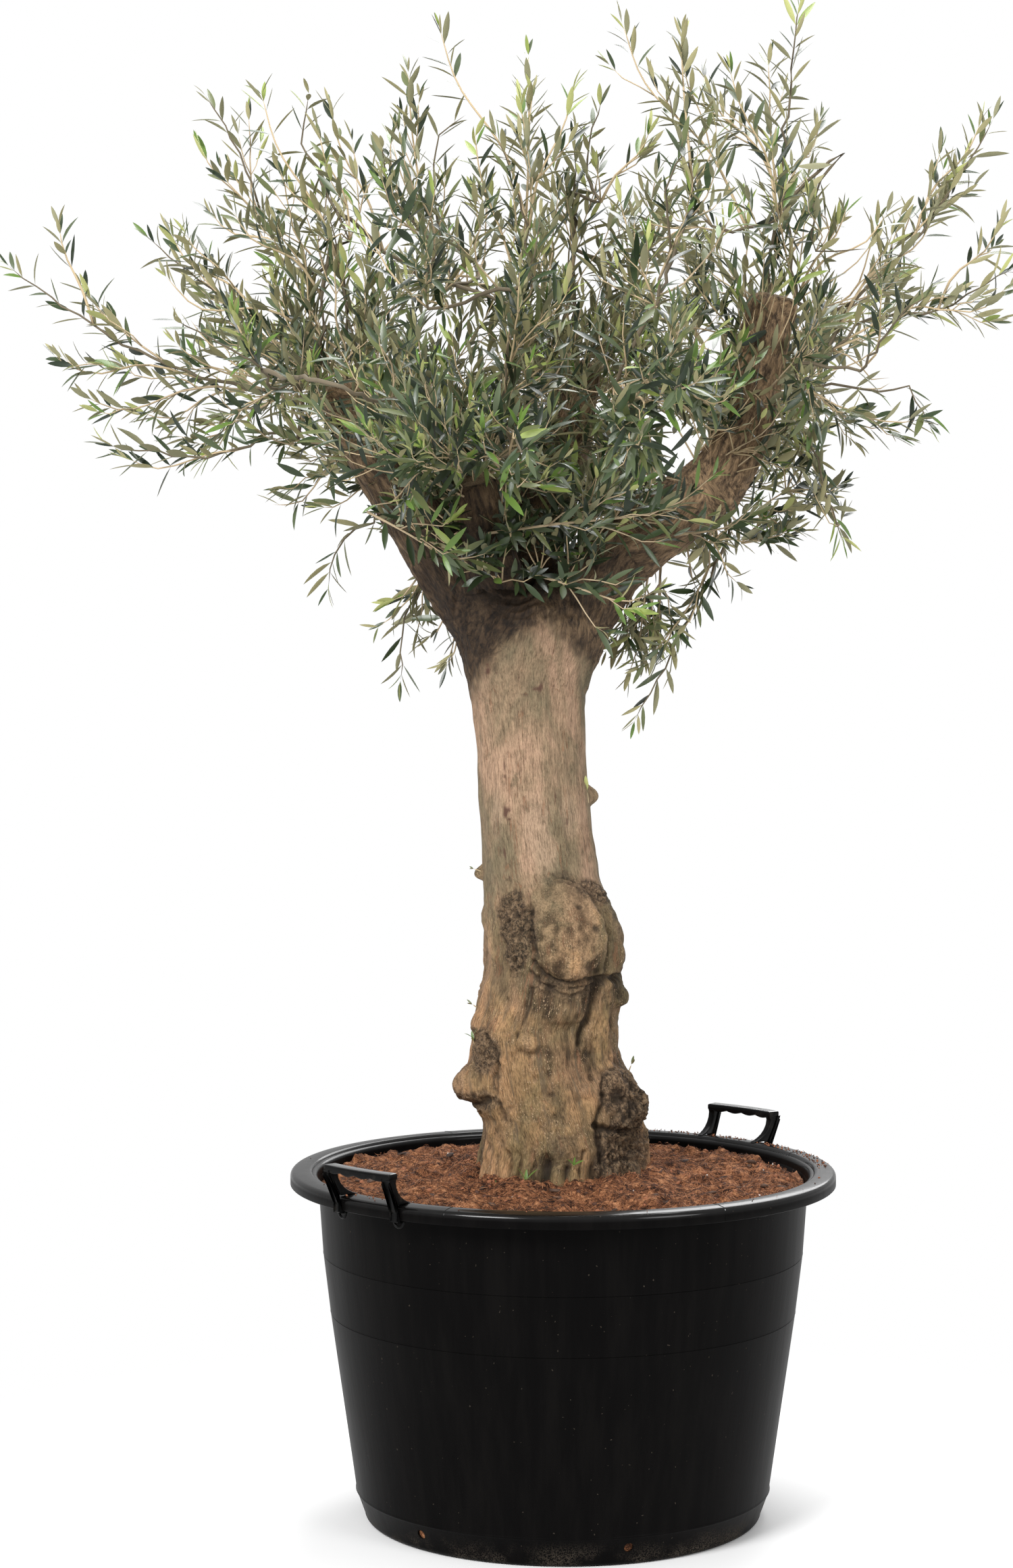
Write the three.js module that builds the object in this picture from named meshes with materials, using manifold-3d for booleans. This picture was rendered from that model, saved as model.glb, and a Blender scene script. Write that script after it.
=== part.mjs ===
// Olive tree in a round nursery tub: tub, two clip-on handles, soil, trunk, boughs and masses of foliage.
// Millimetres, +Z up. The origin is the centre of the tub's flat underside, and -Y is the front.

import * as THREE from 'three';
import { mergeVertices } from 'three/addons/utils/BufferGeometryUtils.js';
import { ImprovedNoise } from 'three/addons/math/ImprovedNoise.js';
import Module from 'manifold-3d';

const wasm = await Module();
wasm.setup();

// ---------- driving dimensions ----------

const GAP = 0.4; // left between neighbours that touch on the real tree
const CUT = 0.6; // how far a solid is grown to cut its neighbour, so that slanting faces keep a gap too

const RIM_RADIUS = 500; // outer edge of the rim
const RIM_INNER = 459; // inner brink of the rim's flange
const TUB_HEIGHT = 643;
const LIP_DROP = 26.5; // the rim's turned-down lip
const LIP_WALL = 5;
const WALL = 5.5;
const FLOOR = 6;
const BASE_RADIUS = 365;
const BASE_ROUND = 12;
const TUB_SIDES = 24;
const WALL_RINGS = [ // outer radius and height at each moulded ring of the wall
	[380, 54],
	[427, 382],
	[440, 490],
];
const WALL_TOP = [450, TUB_HEIGHT - 10];
const DRAINS = { count: 6, radius: 8.5, height: 34, firstAngle: 18, sides: 8 };

const HANDLE_ANGLES = { handle_front: -44, handle_back: 136 }; // degrees round from the front
const HANDLE = { length: 177, height: 60, bar: 11, inner: 481, outer: 507 }; // the bar's two faces as radii
const POST = { along: 70.5, thick: 13, waist: 480, wall: 5, hookDrop: 13, hookReach: 12 };
const FINGER_BUMPS = { count: 3, depth: 3.5 };

const SOIL_RADIUS = 441; // at the top
const SOIL_TOP = 612; // at the wall
const SOIL_MOUND = 620; // round the foot of the trunk
const SOIL_ROUGH = 5;
const SOIL_LUMP = 90;
const TRUNK_PAD = 235; // radius of the level soil that the trunk stands on

// Trunk from the soil to the fork: height, centre x, centre y, half width, half depth
const TRUNK_STATIONS = [
	[SOIL_MOUND + GAP, -6, 0, 154, 146],
	[680, -3, 0, 148, 138],
	[740, -8, 0, 143, 130],
	[800, -20, 0, 137, 121],
	[860, -34, 0, 134, 115],
	[930, -32, 0, 129, 111],
	[1000, -27, 0, 121, 108],
	[1060, -30, 0, 116, 106],
	[1120, -32, 0, 113, 104],
	[1180, -40, 0, 107, 101],
	[1330, -53, 0, 101, 98],
	[1440, -59, 0, 100, 98],
	[1520, -66, 0, 107, 104],
	[1590, -62, 0, 126, 114],
	[1645, -52, 5, 136, 118],
	[1700, -46, 5, 108, 98],
];
const TRUNK_CROWN = 1722; // rounded top between the boughs
const TRUNK_SIDES = 18;
const TRUNK_RINGS = 25;
const TOES = { count: 7, swell: 0.05, fadeHeight: 130 };

// Burls: degrees round from the front towards +X, height, how far out, half width, half height
const BURLS = [
	[25, 1065, 42, 75, 95],
	[82, 1055, 28, 46, 64],
	[86, 955, 17, 32, 26],
	[-84, 790, 46, 42, 36],
	[72, 780, 34, 52, 46],
	[95, 696, 24, 50, 40],
	[-30, 880, 12, 32, 30],
	[168, 905, 25, 60, 80],
	[205, 1260, 16, 50, 60],
];

// Boughs: radius at the start and at the end, and places along the limb
const BOUGHS = {
	bough_left: {
		radii: [76, 46],
		path: [[-110, 0, 1600], [-221, -10, 1768], [-305, -30, 1889], [-364, -50, 1985], [-400, -60, 2072]],
	},
	bough_right_lower: {
		radii: [82, 60],
		path: [[-10, 0, 1610], [75, -10, 1740], [161, -20, 1809], [272, -30, 1890]],
	},
	bough_right_upper: {
		radii: [56, 46],
		path: [[262, -30, 1872], [318, -38, 1965], [342, -42, 2060], [372, -50, 2190], [380, -52, 2226]],
	},
	bough_rear: {
		radii: [66, 40],
		path: [[-60, 40, 1650], [-52, 110, 1800], [0, 190, 1965], [33, 250, 2120]],
	},
	bough_rear_left: {
		radii: [54, 34],
		path: [[-110, 50, 1640], [-170, 130, 1780], [-215, 215, 1930], [-225, 270, 2060]],
	},
	bough_front_knob: {
		radii: [52, 46],
		path: [[-95, -40, 1640], [-132, -90, 1765], [-150, -125, 1850], [-160, -140, 1896]],
	},
};
const BOUGH_SIDES = 8;
const BOUGH_STEPS = 7;

// Foliage: where each mass starts, its furthest tip, its greatest radius, and how far its middle is lifted
const MASSES = {
	core_left: { from: [-335, -50, 1930], tip: [-430, -60, 2400], girth: 150, lift: 0 },
	core_right: { from: [330, -40, 2010], tip: [400, -40, 2480], girth: 140, lift: 0 },
	core_rear: { from: [-20, 200, 1890], tip: [30, 180, 2540], girth: 185, lift: 0 },
	core_front: { from: [-150, -110, 1865], tip: [-40, -330, 2340], girth: 160, lift: 0 },
	left_far_spray: { from: [-440, -60, 2060], tip: [-985, -150, 2275], girth: 120, lift: -64 },
	left_low: { from: [-380, -130, 1960], tip: [-800, -240, 1955], girth: 88, lift: -28 },
	left_middle: { from: [-440, 40, 2120], tip: [-765, 90, 2350], girth: 128, lift: -15 },
	left_upper: { from: [-430, 20, 2240], tip: [-655, 50, 2604], girth: 128, lift: 10 },
	left_upper_inner: { from: [-395, -60, 2300], tip: [-455, -90, 2585], girth: 122, lift: 0 },
	left_hanging: { from: [-262, 90, 1830], tip: [-300, 60, 1535], girth: 84, lift: 20 },
	left_hanging_outer: { from: [-350, 40, 1900], tip: [-430, 20, 1705], girth: 74, lift: 15 },
	top_left: { from: [-215, 100, 2220], tip: [-240, 100, 2738], girth: 118, lift: 0 },
	top_middle: { from: [-75, -10, 2190], tip: [-95, -120, 2662], girth: 112, lift: 0 },
	top_rear: { from: [60, 150, 2400], tip: [85, 185, 2700], girth: 118, lift: 0 },
	top_right_inner: { from: [240, -60, 2330], tip: [150, -100, 2718], girth: 118, lift: 0 },
	top_right: { from: [385, 40, 2360], tip: [432, 80, 2776], girth: 108, lift: 0 },
	right_upper: { from: [450, -80, 2300], tip: [505, -140, 2510], girth: 94, lift: 0 },
	right_far_spray_high: { from: [455, 0, 2190], tip: [782, 50, 2558], girth: 92, lift: -62 },
	right_far_spray_low: { from: [450, -40, 2130], tip: [806, -60, 2275], girth: 88, lift: -34 },
	right_middle: { from: [420, -80, 2060], tip: [648, -150, 1990], girth: 98, lift: 20 },
	right_low: { from: [385, -70, 1990], tip: [500, -100, 1785], girth: 86, lift: 25 },
	right_hanging: { from: [345, 60, 1850], tip: [131, 30, 1462], girth: 86, lift: 0 },
	front_left: { from: [-240, -210, 2000], tip: [-410, -650, 2040], girth: 165, lift: -15 },
	front_right: { from: [170, -170, 2060], tip: [190, -690, 2030], girth: 165, lift: -10 },
	front_low: { from: [-100, -210, 1960], tip: [-60, -600, 1925], girth: 92, lift: 0 },
	front_upper_left: { from: [-250, -200, 2210], tip: [-300, -520, 2430], girth: 145, lift: 0 },
	front_upper_right: { from: [160, -190, 2230], tip: [200, -500, 2450], girth: 145, lift: 0 },
	front_far_left: { from: [-430, -150, 2070], tip: [-650, -480, 2150], girth: 118, lift: -15 },
	front_far_right: { from: [400, -130, 2090], tip: [610, -480, 2190], girth: 118, lift: -15 },
	back_left: { from: [-300, 180, 2040], tip: [-480, 650, 2120], girth: 165, lift: -15 },
	back_middle: { from: [0, 300, 2090], tip: [10, 810, 2190], girth: 170, lift: -20 },
	back_right: { from: [320, 120, 2070], tip: [450, 640, 2150], girth: 160, lift: -15 },
	back_low: { from: [50, 260, 1990], tip: [80, 640, 1850], girth: 105, lift: 20 },
	back_upper_left: { from: [-150, 230, 2250], tip: [-330, 560, 2510], girth: 145, lift: 0 },
	back_upper_right: { from: [170, 260, 2290], tip: [260, 590, 2530], girth: 145, lift: 0 },
	back_far_left: { from: [-420, 110, 2120], tip: [-720, 420, 2220], girth: 116, lift: -15 },
	back_far_right: { from: [420, 90, 2150], tip: [640, 420, 2310], girth: 116, lift: -15 },
};
const MASS_SIDES = 7;
const MASS_RINGS = 6;
const MASS_BUTT = 0.15; // how far the start bulges back, as a share of the girth
const MASS_UNEVEN = 0.5; // depth of the lumps, as a share of the girth
const MASS_SEED = 3.7; // step between the lumps of one mass and the next

// ---------- finishes ----------

function finish(color, roughness) {
	return new THREE.MeshStandardMaterial({ color, roughness, metalness: 0 });
}
const blackPlastic = finish(0x161719, 0.45);
const handlePlastic = finish(0x111214, 0.35);
const coirSoil = finish(0x6b3a24, 0.95);
const bark = finish(0x8f7b60, 0.85);
const foliage = finish(0x5c6b4a, 0.6);

// ---------- solids ----------

// A closed geometry welded into a solid that can be cut and joined, its faces turned out.
// A growth pushes every corner out along its normal, for cutting a neighbour back to a gap.
function solidFrom(geometry, growth = 0) {
	const bare = geometry.index ? geometry.toNonIndexed() : geometry.clone();
	for (const name of Object.keys(bare.attributes)) if (name !== 'position') bare.deleteAttribute(name);
	const welded = mergeVertices(bare, 1e-3);
	const position = welded.attributes.position.array;
	const corner = welded.index.array;
	let triangles = [];
	let volume = 0;
	const [a, b, c] = [new THREE.Vector3(), new THREE.Vector3(), new THREE.Vector3()];
	for (let i = 0; i < corner.length; i += 3) {
		const [p, q, r] = [corner[i], corner[i + 1], corner[i + 2]];
		if (p === q || q === r || r === p) continue;
		triangles.push([p, q, r]);
		a.fromArray(position, 3 * p);
		b.fromArray(position, 3 * q);
		c.fromArray(position, 3 * r);
		volume += a.dot(b.cross(c));
	}
	if (volume < 0) triangles = triangles.map(([p, q, r]) => [p, r, q]);
	if (growth) {
		welded.setIndex(triangles.flat());
		welded.computeVertexNormals();
		welded.attributes.normal.array.forEach((part, i) => { position[i] += part * growth; });
	}
	return new wasm.Manifold(new wasm.Mesh({
		numProp: 3,
		vertProperties: new Float32Array(position),
		triVerts: new Uint32Array(triangles.flat()),
	}));
}

function geometryFrom(solid) {
	const mesh = solid.getMesh();
	const geometry = new THREE.BufferGeometry();
	geometry.setAttribute('position', new THREE.BufferAttribute(new Float32Array(mesh.vertProperties), 3));
	geometry.setIndex(new THREE.BufferAttribute(new Uint32Array(mesh.triVerts), 1));
	geometry.computeVertexNormals();
	return geometry;
}

// A skin over rings of points, closed by a fan to a point at each end
function loft(rings, startPoint, endPoint) {
	const sides = rings[0].length;
	const points = rings.flat();
	const first = points.push(startPoint) - 1;
	const last = points.push(endPoint) - 1;
	const index = [];
	for (let side = 0; side < sides; side++) {
		const next = (side + 1) % sides;
		index.push(first, next, side);
		for (let ring = 0; ring + 1 < rings.length; ring++) {
			const [low, high] = [ring * sides, (ring + 1) * sides];
			index.push(low + side, low + next, high + next, low + side, high + next, high + side);
		}
		const top = (rings.length - 1) * sides;
		index.push(last, top + side, top + next);
	}
	const geometry = new THREE.BufferGeometry().setFromPoints(points);
	geometry.setIndex(index);
	return geometry;
}

// A profile of [radius, height] points turned about the Z axis
function turned(profile, sides) {
	const points = profile.map(([radius, height]) => new THREE.Vector2(radius, height));
	return new THREE.LatheGeometry(points, sides).rotateX(Math.PI / 2);
}

// Unit vector at an angle in degrees round from the front (-Y) towards +X
function outward(degrees) {
	const angle = THREE.MathUtils.degToRad(degrees);
	return new THREE.Vector3(Math.sin(angle), -Math.cos(angle), 0);
}

// ---------- tub ----------

function tub() {
	const underside = TUB_HEIGHT - LIP_WALL;
	const lipFoot = TUB_HEIGHT - LIP_DROP;
	const [topRadius, topHeight] = WALL_TOP;
	const inside = WALL_RINGS.map(([radius, height]) => [radius - WALL, height]).reverse();
	const profile = [
		[0, 0],
		[BASE_RADIUS - BASE_ROUND, 0],
		[BASE_RADIUS, BASE_ROUND],
		...WALL_RINGS,
		[topRadius, topHeight],
		[RIM_RADIUS - LIP_WALL, underside - 1],
		[RIM_RADIUS - LIP_WALL, lipFoot],
		[RIM_RADIUS, lipFoot],
		[RIM_RADIUS, TUB_HEIGHT - 5],
		[RIM_RADIUS - 6, TUB_HEIGHT],
		[RIM_INNER, TUB_HEIGHT],
		[topRadius - WALL, topHeight - 8],
		...inside,
		[BASE_RADIUS - WALL, FLOOR],
		[0, FLOOR],
	];
	let solid = solidFrom(turned(profile, TUB_SIDES));
	for (let drain = 0; drain < DRAINS.count; drain++) {
		const angle = DRAINS.firstAngle + (360 / DRAINS.count) * drain;
		const hole = new THREE.CylinderGeometry(DRAINS.radius, DRAINS.radius, 8 * WALL, DRAINS.sides);
		hole.translate(0, -BASE_RADIUS - WALL, DRAINS.height);
		hole.rotateZ(THREE.MathUtils.degToRad(angle));
		solid = solid.subtract(solidFrom(hole));
	}
	return solid;
}

// ---------- handles ----------

// Bends a shape round the rim: distance along the rim, radius and height above the rim for each of its points
function roundTheRim(geometry, read) {
	const position = geometry.attributes.position;
	for (let i = 0; i < position.count; i++) {
		const [along, radius, up] = read(position.getX(i), position.getY(i), position.getZ(i));
		const way = outward(THREE.MathUtils.radToDeg(along / RIM_RADIUS)).multiplyScalar(radius);
		position.setXYZ(i, way.x, way.y, TUB_HEIGHT + GAP + up);
	}
	return geometry;
}

// The flat-topped bar, with finger bumps under it between the posts
function handleBar() {
	const { length, height, bar, inner, outer } = HANDLE;
	const [end, underside] = [length / 2, height - bar];
	const shape = new THREE.Shape();
	shape.moveTo(-end, underside + 2);
	shape.lineTo(-end, height - 2);
	const steps = 4;
	for (let step = 0; step <= steps; step++) {
		shape.lineTo(-end + 3 + ((length - 6) * step) / steps, height);
	}
	shape.lineTo(end, height - 2);
	shape.lineTo(end, underside + 2);
	shape.lineTo(POST.along, underside);
	const bump = (2 * POST.along) / FINGER_BUMPS.count;
	for (let finger = 0; finger < FINGER_BUMPS.count; finger++) {
		const start = POST.along - bump * finger;
		shape.quadraticCurveTo(start - bump / 2, underside - 2 * FINGER_BUMPS.depth, start - bump, underside);
	}
	const sizes = { depth: outer - inner, bevelEnabled: false, curveSegments: 3 };
	return roundTheRim(new THREE.ExtrudeGeometry(shape, sizes), (x, y, z) => [x, inner + z, y]);
}

// One post in the radial plane: it flares inwards over the flange, runs down the lip and hooks under it
function handlePost(side) {
	const { along, thick, waist, wall, hookDrop, hookReach } = POST;
	const { height, bar, outer } = HANDLE;
	const lipFoot = -LIP_DROP - 2 * GAP;
	const shape = new THREE.Shape();
	shape.moveTo(RIM_INNER + 3, 0);
	shape.quadraticCurveTo(waist, 5, waist + 2, height - bar / 2);
	shape.lineTo(outer - 1, height - bar / 2);
	shape.lineTo(RIM_RADIUS + wall, 0);
	shape.lineTo(RIM_RADIUS + wall, lipFoot);
	shape.lineTo(RIM_RADIUS + wall - 3, lipFoot - hookDrop);
	shape.lineTo(RIM_RADIUS - hookReach, lipFoot - hookDrop);
	shape.lineTo(RIM_RADIUS - hookReach, lipFoot);
	shape.lineTo(RIM_RADIUS + 2 * GAP, lipFoot);
	shape.lineTo(RIM_RADIUS + 2 * GAP, 0);
	const sizes = { depth: thick, bevelEnabled: false, curveSegments: 4 };
	const start = side * along - thick / 2;
	return roundTheRim(new THREE.ExtrudeGeometry(shape, sizes), (x, y, z) => [start + z, x, y]);
}

function handle() {
	return [-1, 1].reduce((solid, side) => solid.add(solidFrom(handlePost(side))), solidFrom(handleBar()));
}

// ---------- soil ----------

// A plug of damp potting mix that fills the tub, gently uneven on top and level under the trunk
function soil() {
	const noise = new ImprovedNoise();
	const ringAt = (radius, height, rough) => Array.from({ length: TUB_SIDES }, (_, side) => {
		const point = outward((360 / TUB_SIDES) * side).multiplyScalar(radius);
		return point.setZ(height + rough * noise.noise(point.x / SOIL_LUMP, point.y / SOIL_LUMP, 0.5));
	});
	const rings = [
		ringAt(BASE_RADIUS - WALL - 2 * GAP, FLOOR + GAP, 0),
		ringAt(SOIL_RADIUS, SOIL_TOP, 0),
		...[0.91, 0.77, 0.65].map((share) => ringAt(SOIL_RADIUS * share, SOIL_TOP, SOIL_ROUGH)),
		ringAt(TRUNK_PAD, SOIL_MOUND, 0),
	];
	return loft(rings, new THREE.Vector3(0, 0, FLOOR + GAP), new THREE.Vector3(0, 0, SOIL_MOUND));
}

// ---------- trunk ----------

// How far the burls push the bark out at an angle and a height
function burlAt(degrees, height, radius) {
	let out = 0;
	for (const [angle, level, rise, halfWidth, halfHeight] of BURLS) {
		const turn = THREE.MathUtils.euclideanModulo(degrees - angle + 180, 360) - 180;
		const across = (THREE.MathUtils.degToRad(turn) * radius) / halfWidth;
		const up = (height - level) / halfHeight;
		out += rise * Math.exp(-across * across - up * up);
	}
	return out;
}

function trunk() {
	const centres = TRUNK_STATIONS.map(([z, x, y]) => new THREE.Vector3(x, y, z));
	const halves = TRUNK_STATIONS.map(([z, , , wide, deep]) => new THREE.Vector3(wide, deep, z));
	const [centre, size] = [new THREE.CatmullRomCurve3(centres), new THREE.CatmullRomCurve3(halves)];
	const foot = centres[0].z;
	const rings = [];
	for (let ring = 0; ring <= TRUNK_RINGS; ring++) {
		const middle = centre.getPoint(ring / TRUNK_RINGS);
		const half = size.getPoint(ring / TRUNK_RINGS);
		const toe = TOES.swell * Math.max(0, 1 - (middle.z - foot) / TOES.fadeHeight);
		rings.push(Array.from({ length: TRUNK_SIDES }, (_, side) => {
			const degrees = (360 / TRUNK_SIDES) * side;
			const way = outward(degrees);
			const plain = Math.hypot(half.x * way.x, half.y * way.y);
			const lobes = 1 + toe * Math.cos(THREE.MathUtils.degToRad(TOES.count * degrees) + 0.6);
			return middle.clone().addScaledVector(way, plain * lobes + burlAt(degrees, middle.z, plain));
		}));
	}
	return loft(rings, centre.getPoint(0), centre.getPoint(1).setZ(TRUNK_CROWN));
}

// ---------- boughs and foliage ----------

// Rings of points round a curve, turned as little as possible on the way, with a radius for each place
function ringsAlong(curve, steps, sides, radiusAt) {
	const frames = curve.computeFrenetFrames(steps, false);
	return Array.from({ length: steps + 1 }, (_, step) => {
		const middle = curve.getPointAt(step / steps);
		return Array.from({ length: sides }, (_, side) => {
			const angle = (2 * Math.PI * side) / sides;
			const radius = radiusAt(step / steps, angle);
			return middle.clone()
				.addScaledVector(frames.normals[step], Math.cos(angle) * radius)
				.addScaledVector(frames.binormals[step], Math.sin(angle) * radius);
		});
	});
}

// One tapering limb with flat ends
function bough({ radii: [thick, thin], path }) {
	const curve = new THREE.CatmullRomCurve3(path.map((place) => new THREE.Vector3(...place)));
	const radiusAt = (along) => THREE.MathUtils.lerp(thick, thin, along);
	const rings = ringsAlong(curve, BOUGH_STEPS, BOUGH_SIDES, radiusAt);
	return loft(rings, curve.getPointAt(0), curve.getPointAt(1));
}

// One lumpy mass of leaves that swells from its start and narrows to its tip
function mass({ from, tip, girth, lift }, seed) {
	const noise = new ImprovedNoise();
	const [start, end] = [new THREE.Vector3(...from), new THREE.Vector3(...tip)];
	const middle = start.clone().lerp(end, 0.5).add(new THREE.Vector3(0, 0, 2 * lift));
	const curve = new THREE.QuadraticBezierCurve3(start, middle, end);
	const rings = ringsAlong(curve, MASS_RINGS, MASS_SIDES, (along, angle) => {
		const swell = Math.sqrt(1 - (1.7 * along - 0.7) ** 2) * (1 - 0.35 * along * along);
		const lumps = noise.noise(Math.cos(angle) * 0.9 + seed, Math.sin(angle) * 0.9, along * 3.2);
		return girth * swell * (1 + MASS_UNEVEN * lumps);
	});
	rings.pop();
	const butt = start.clone().addScaledVector(curve.getTangentAt(0), -MASS_BUTT * girth);
	return loft(rings, butt, end);
}

// What is left of a solid outside its grown neighbours, without the crumbs that the cuts leave
function outside(solid, neighbours) {
	const cut = neighbours.reduce((rest, neighbour) => rest.subtract(neighbour), solid);
	return cut.decompose().reduce((most, piece) => (piece.volume() > most.volume() ? piece : most));
}

// ---------- the tree ----------

const tree = new THREE.Group();

function place(name, solid, material) {
	const mesh = new THREE.Mesh(geometryFrom(solid), material);
	mesh.name = name;
	tree.add(mesh);
	return mesh;
}

place('tub', tub(), blackPlastic);
for (const [name, angle] of Object.entries(HANDLE_ANGLES)) {
	place(name, handle(), handlePlastic).rotation.z = THREE.MathUtils.degToRad(angle);
}
place('soil', solidFrom(soil()), coirSoil);
place('trunk', solidFrom(trunk()), bark);

const taken = [solidFrom(trunk(), CUT)];
for (const [name, sizes] of Object.entries(BOUGHS)) {
	place(name, outside(solidFrom(bough(sizes)), taken), bark);
	taken.push(solidFrom(bough(sizes), CUT));
}
Object.entries(MASSES).forEach(([name, sizes], number) => {
	const lump = mass(sizes, MASS_SEED * (number + 1));
	place(name, outside(solidFrom(lump), taken), foliage);
	taken.push(solidFrom(lump, CUT));
});

export default tree;
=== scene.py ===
import math

import bmesh
import bpy
import numpy as np
from mathutils import Matrix, Vector


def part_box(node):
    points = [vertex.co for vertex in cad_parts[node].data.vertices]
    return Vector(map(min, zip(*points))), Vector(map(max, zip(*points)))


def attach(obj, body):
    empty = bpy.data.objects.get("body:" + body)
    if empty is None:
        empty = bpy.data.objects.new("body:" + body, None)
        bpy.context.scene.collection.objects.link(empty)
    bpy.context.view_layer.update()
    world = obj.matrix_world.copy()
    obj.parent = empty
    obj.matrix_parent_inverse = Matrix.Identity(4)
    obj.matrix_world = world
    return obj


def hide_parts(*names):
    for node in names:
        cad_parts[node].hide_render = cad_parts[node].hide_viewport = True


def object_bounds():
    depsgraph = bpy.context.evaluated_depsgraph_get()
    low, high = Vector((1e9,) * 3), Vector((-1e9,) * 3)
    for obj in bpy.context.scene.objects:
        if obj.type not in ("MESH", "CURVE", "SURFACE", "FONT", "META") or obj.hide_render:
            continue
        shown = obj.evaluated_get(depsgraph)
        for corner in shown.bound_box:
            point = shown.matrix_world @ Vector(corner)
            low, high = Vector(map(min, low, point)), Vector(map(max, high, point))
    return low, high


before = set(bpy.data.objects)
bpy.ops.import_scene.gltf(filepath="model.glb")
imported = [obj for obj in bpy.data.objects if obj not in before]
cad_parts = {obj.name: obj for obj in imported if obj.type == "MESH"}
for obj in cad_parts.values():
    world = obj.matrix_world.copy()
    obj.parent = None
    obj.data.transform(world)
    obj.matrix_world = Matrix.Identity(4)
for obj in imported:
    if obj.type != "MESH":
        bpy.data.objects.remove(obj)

cad_low, cad_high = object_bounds()
scene = bpy.context.scene


# ---------- where it is seen from ----------
# A camera at breast height in front of the tub, looking level and a hair down with a long lens, so that the
# whole tree stands upright in a tall frame.

CAMERA_PLACE = (0.0, -6.166, 1.656)
CAMERA_TILT = 0.050
CAMERA_TURN = 0.0168
CAMERA_LENS = 77.55
CAMERA_SENSOR = 36
CAMERA_SIGHT = 200

camera = bpy.data.objects.new("camera", bpy.data.cameras.new("camera"))
camera.location = CAMERA_PLACE
camera.rotation_euler = (math.pi / 2 - CAMERA_TILT, 0, CAMERA_TURN)
camera.data.lens = CAMERA_LENS
camera.data.sensor_width = CAMERA_SENSOR
camera.data.clip_end = CAMERA_SIGHT
scene.collection.objects.link(camera)
scene.camera = camera
scene.view_settings.view_transform = "Standard"


# ---------- studio ----------
# A white sweep of floor that goes off into white all round, a broad soft lamp high on the left, a weaker one
# on the right and one over the crown.

FLOOR_REACH = 60.0
FLOOR_GREY = 0.90
FLOOR_GLOWS = (0.42, 1.5)  # the radii between which the floor turns from matt to glowing
ROOM_LIGHT = 0.66
LAMPS = {  # place, what it looks at, size, power
    "key_lamp": ((-3.0, -4.6, 4.2), (0.0, 0.0, 1.7), 2.6, 385),
    "fill_lamp": ((3.6, -3.8, 2.2), (0.0, 0.0, 1.3), 2.4, 95),
    "top_lamp": ((0.4, 1.2, 5.2), (0.0, 0.0, 2.0), 2.6, 190),
    "back_lamp": ((1.5, 5.0, 3.5), (0.0, 0.0, 1.5), 3.0, 90),
}


class Link:
    """The output of a shader node. Sums of it with numbers or other outputs add their Math nodes."""

    def __init__(self, finish, socket):
        self.finish = finish
        self.socket = socket

    def maths(self, operation, first, second=0.0):
        return self.finish.node("ShaderNodeMath", {"operation": operation}, {0: first, 1: second})

    def __add__(self, other):
        return self.maths("ADD", self, other)

    def __radd__(self, other):
        return self.maths("ADD", other, self)

    def __sub__(self, other):
        return self.maths("SUBTRACT", self, other)

    def __rsub__(self, other):
        return self.maths("SUBTRACT", other, self)

    def __mul__(self, other):
        return self.maths("MULTIPLY", self, other)

    def __rmul__(self, other):
        return self.maths("MULTIPLY", other, self)

    def between(self, low, high):
        """0 under low, 1 over high and a smooth step from one to the other."""
        return self.finish.node(
            "ShaderNodeMapRange", {"interpolation_type": "SMOOTHSTEP"}, {0: self, 1: low, 2: high}
        )


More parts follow.
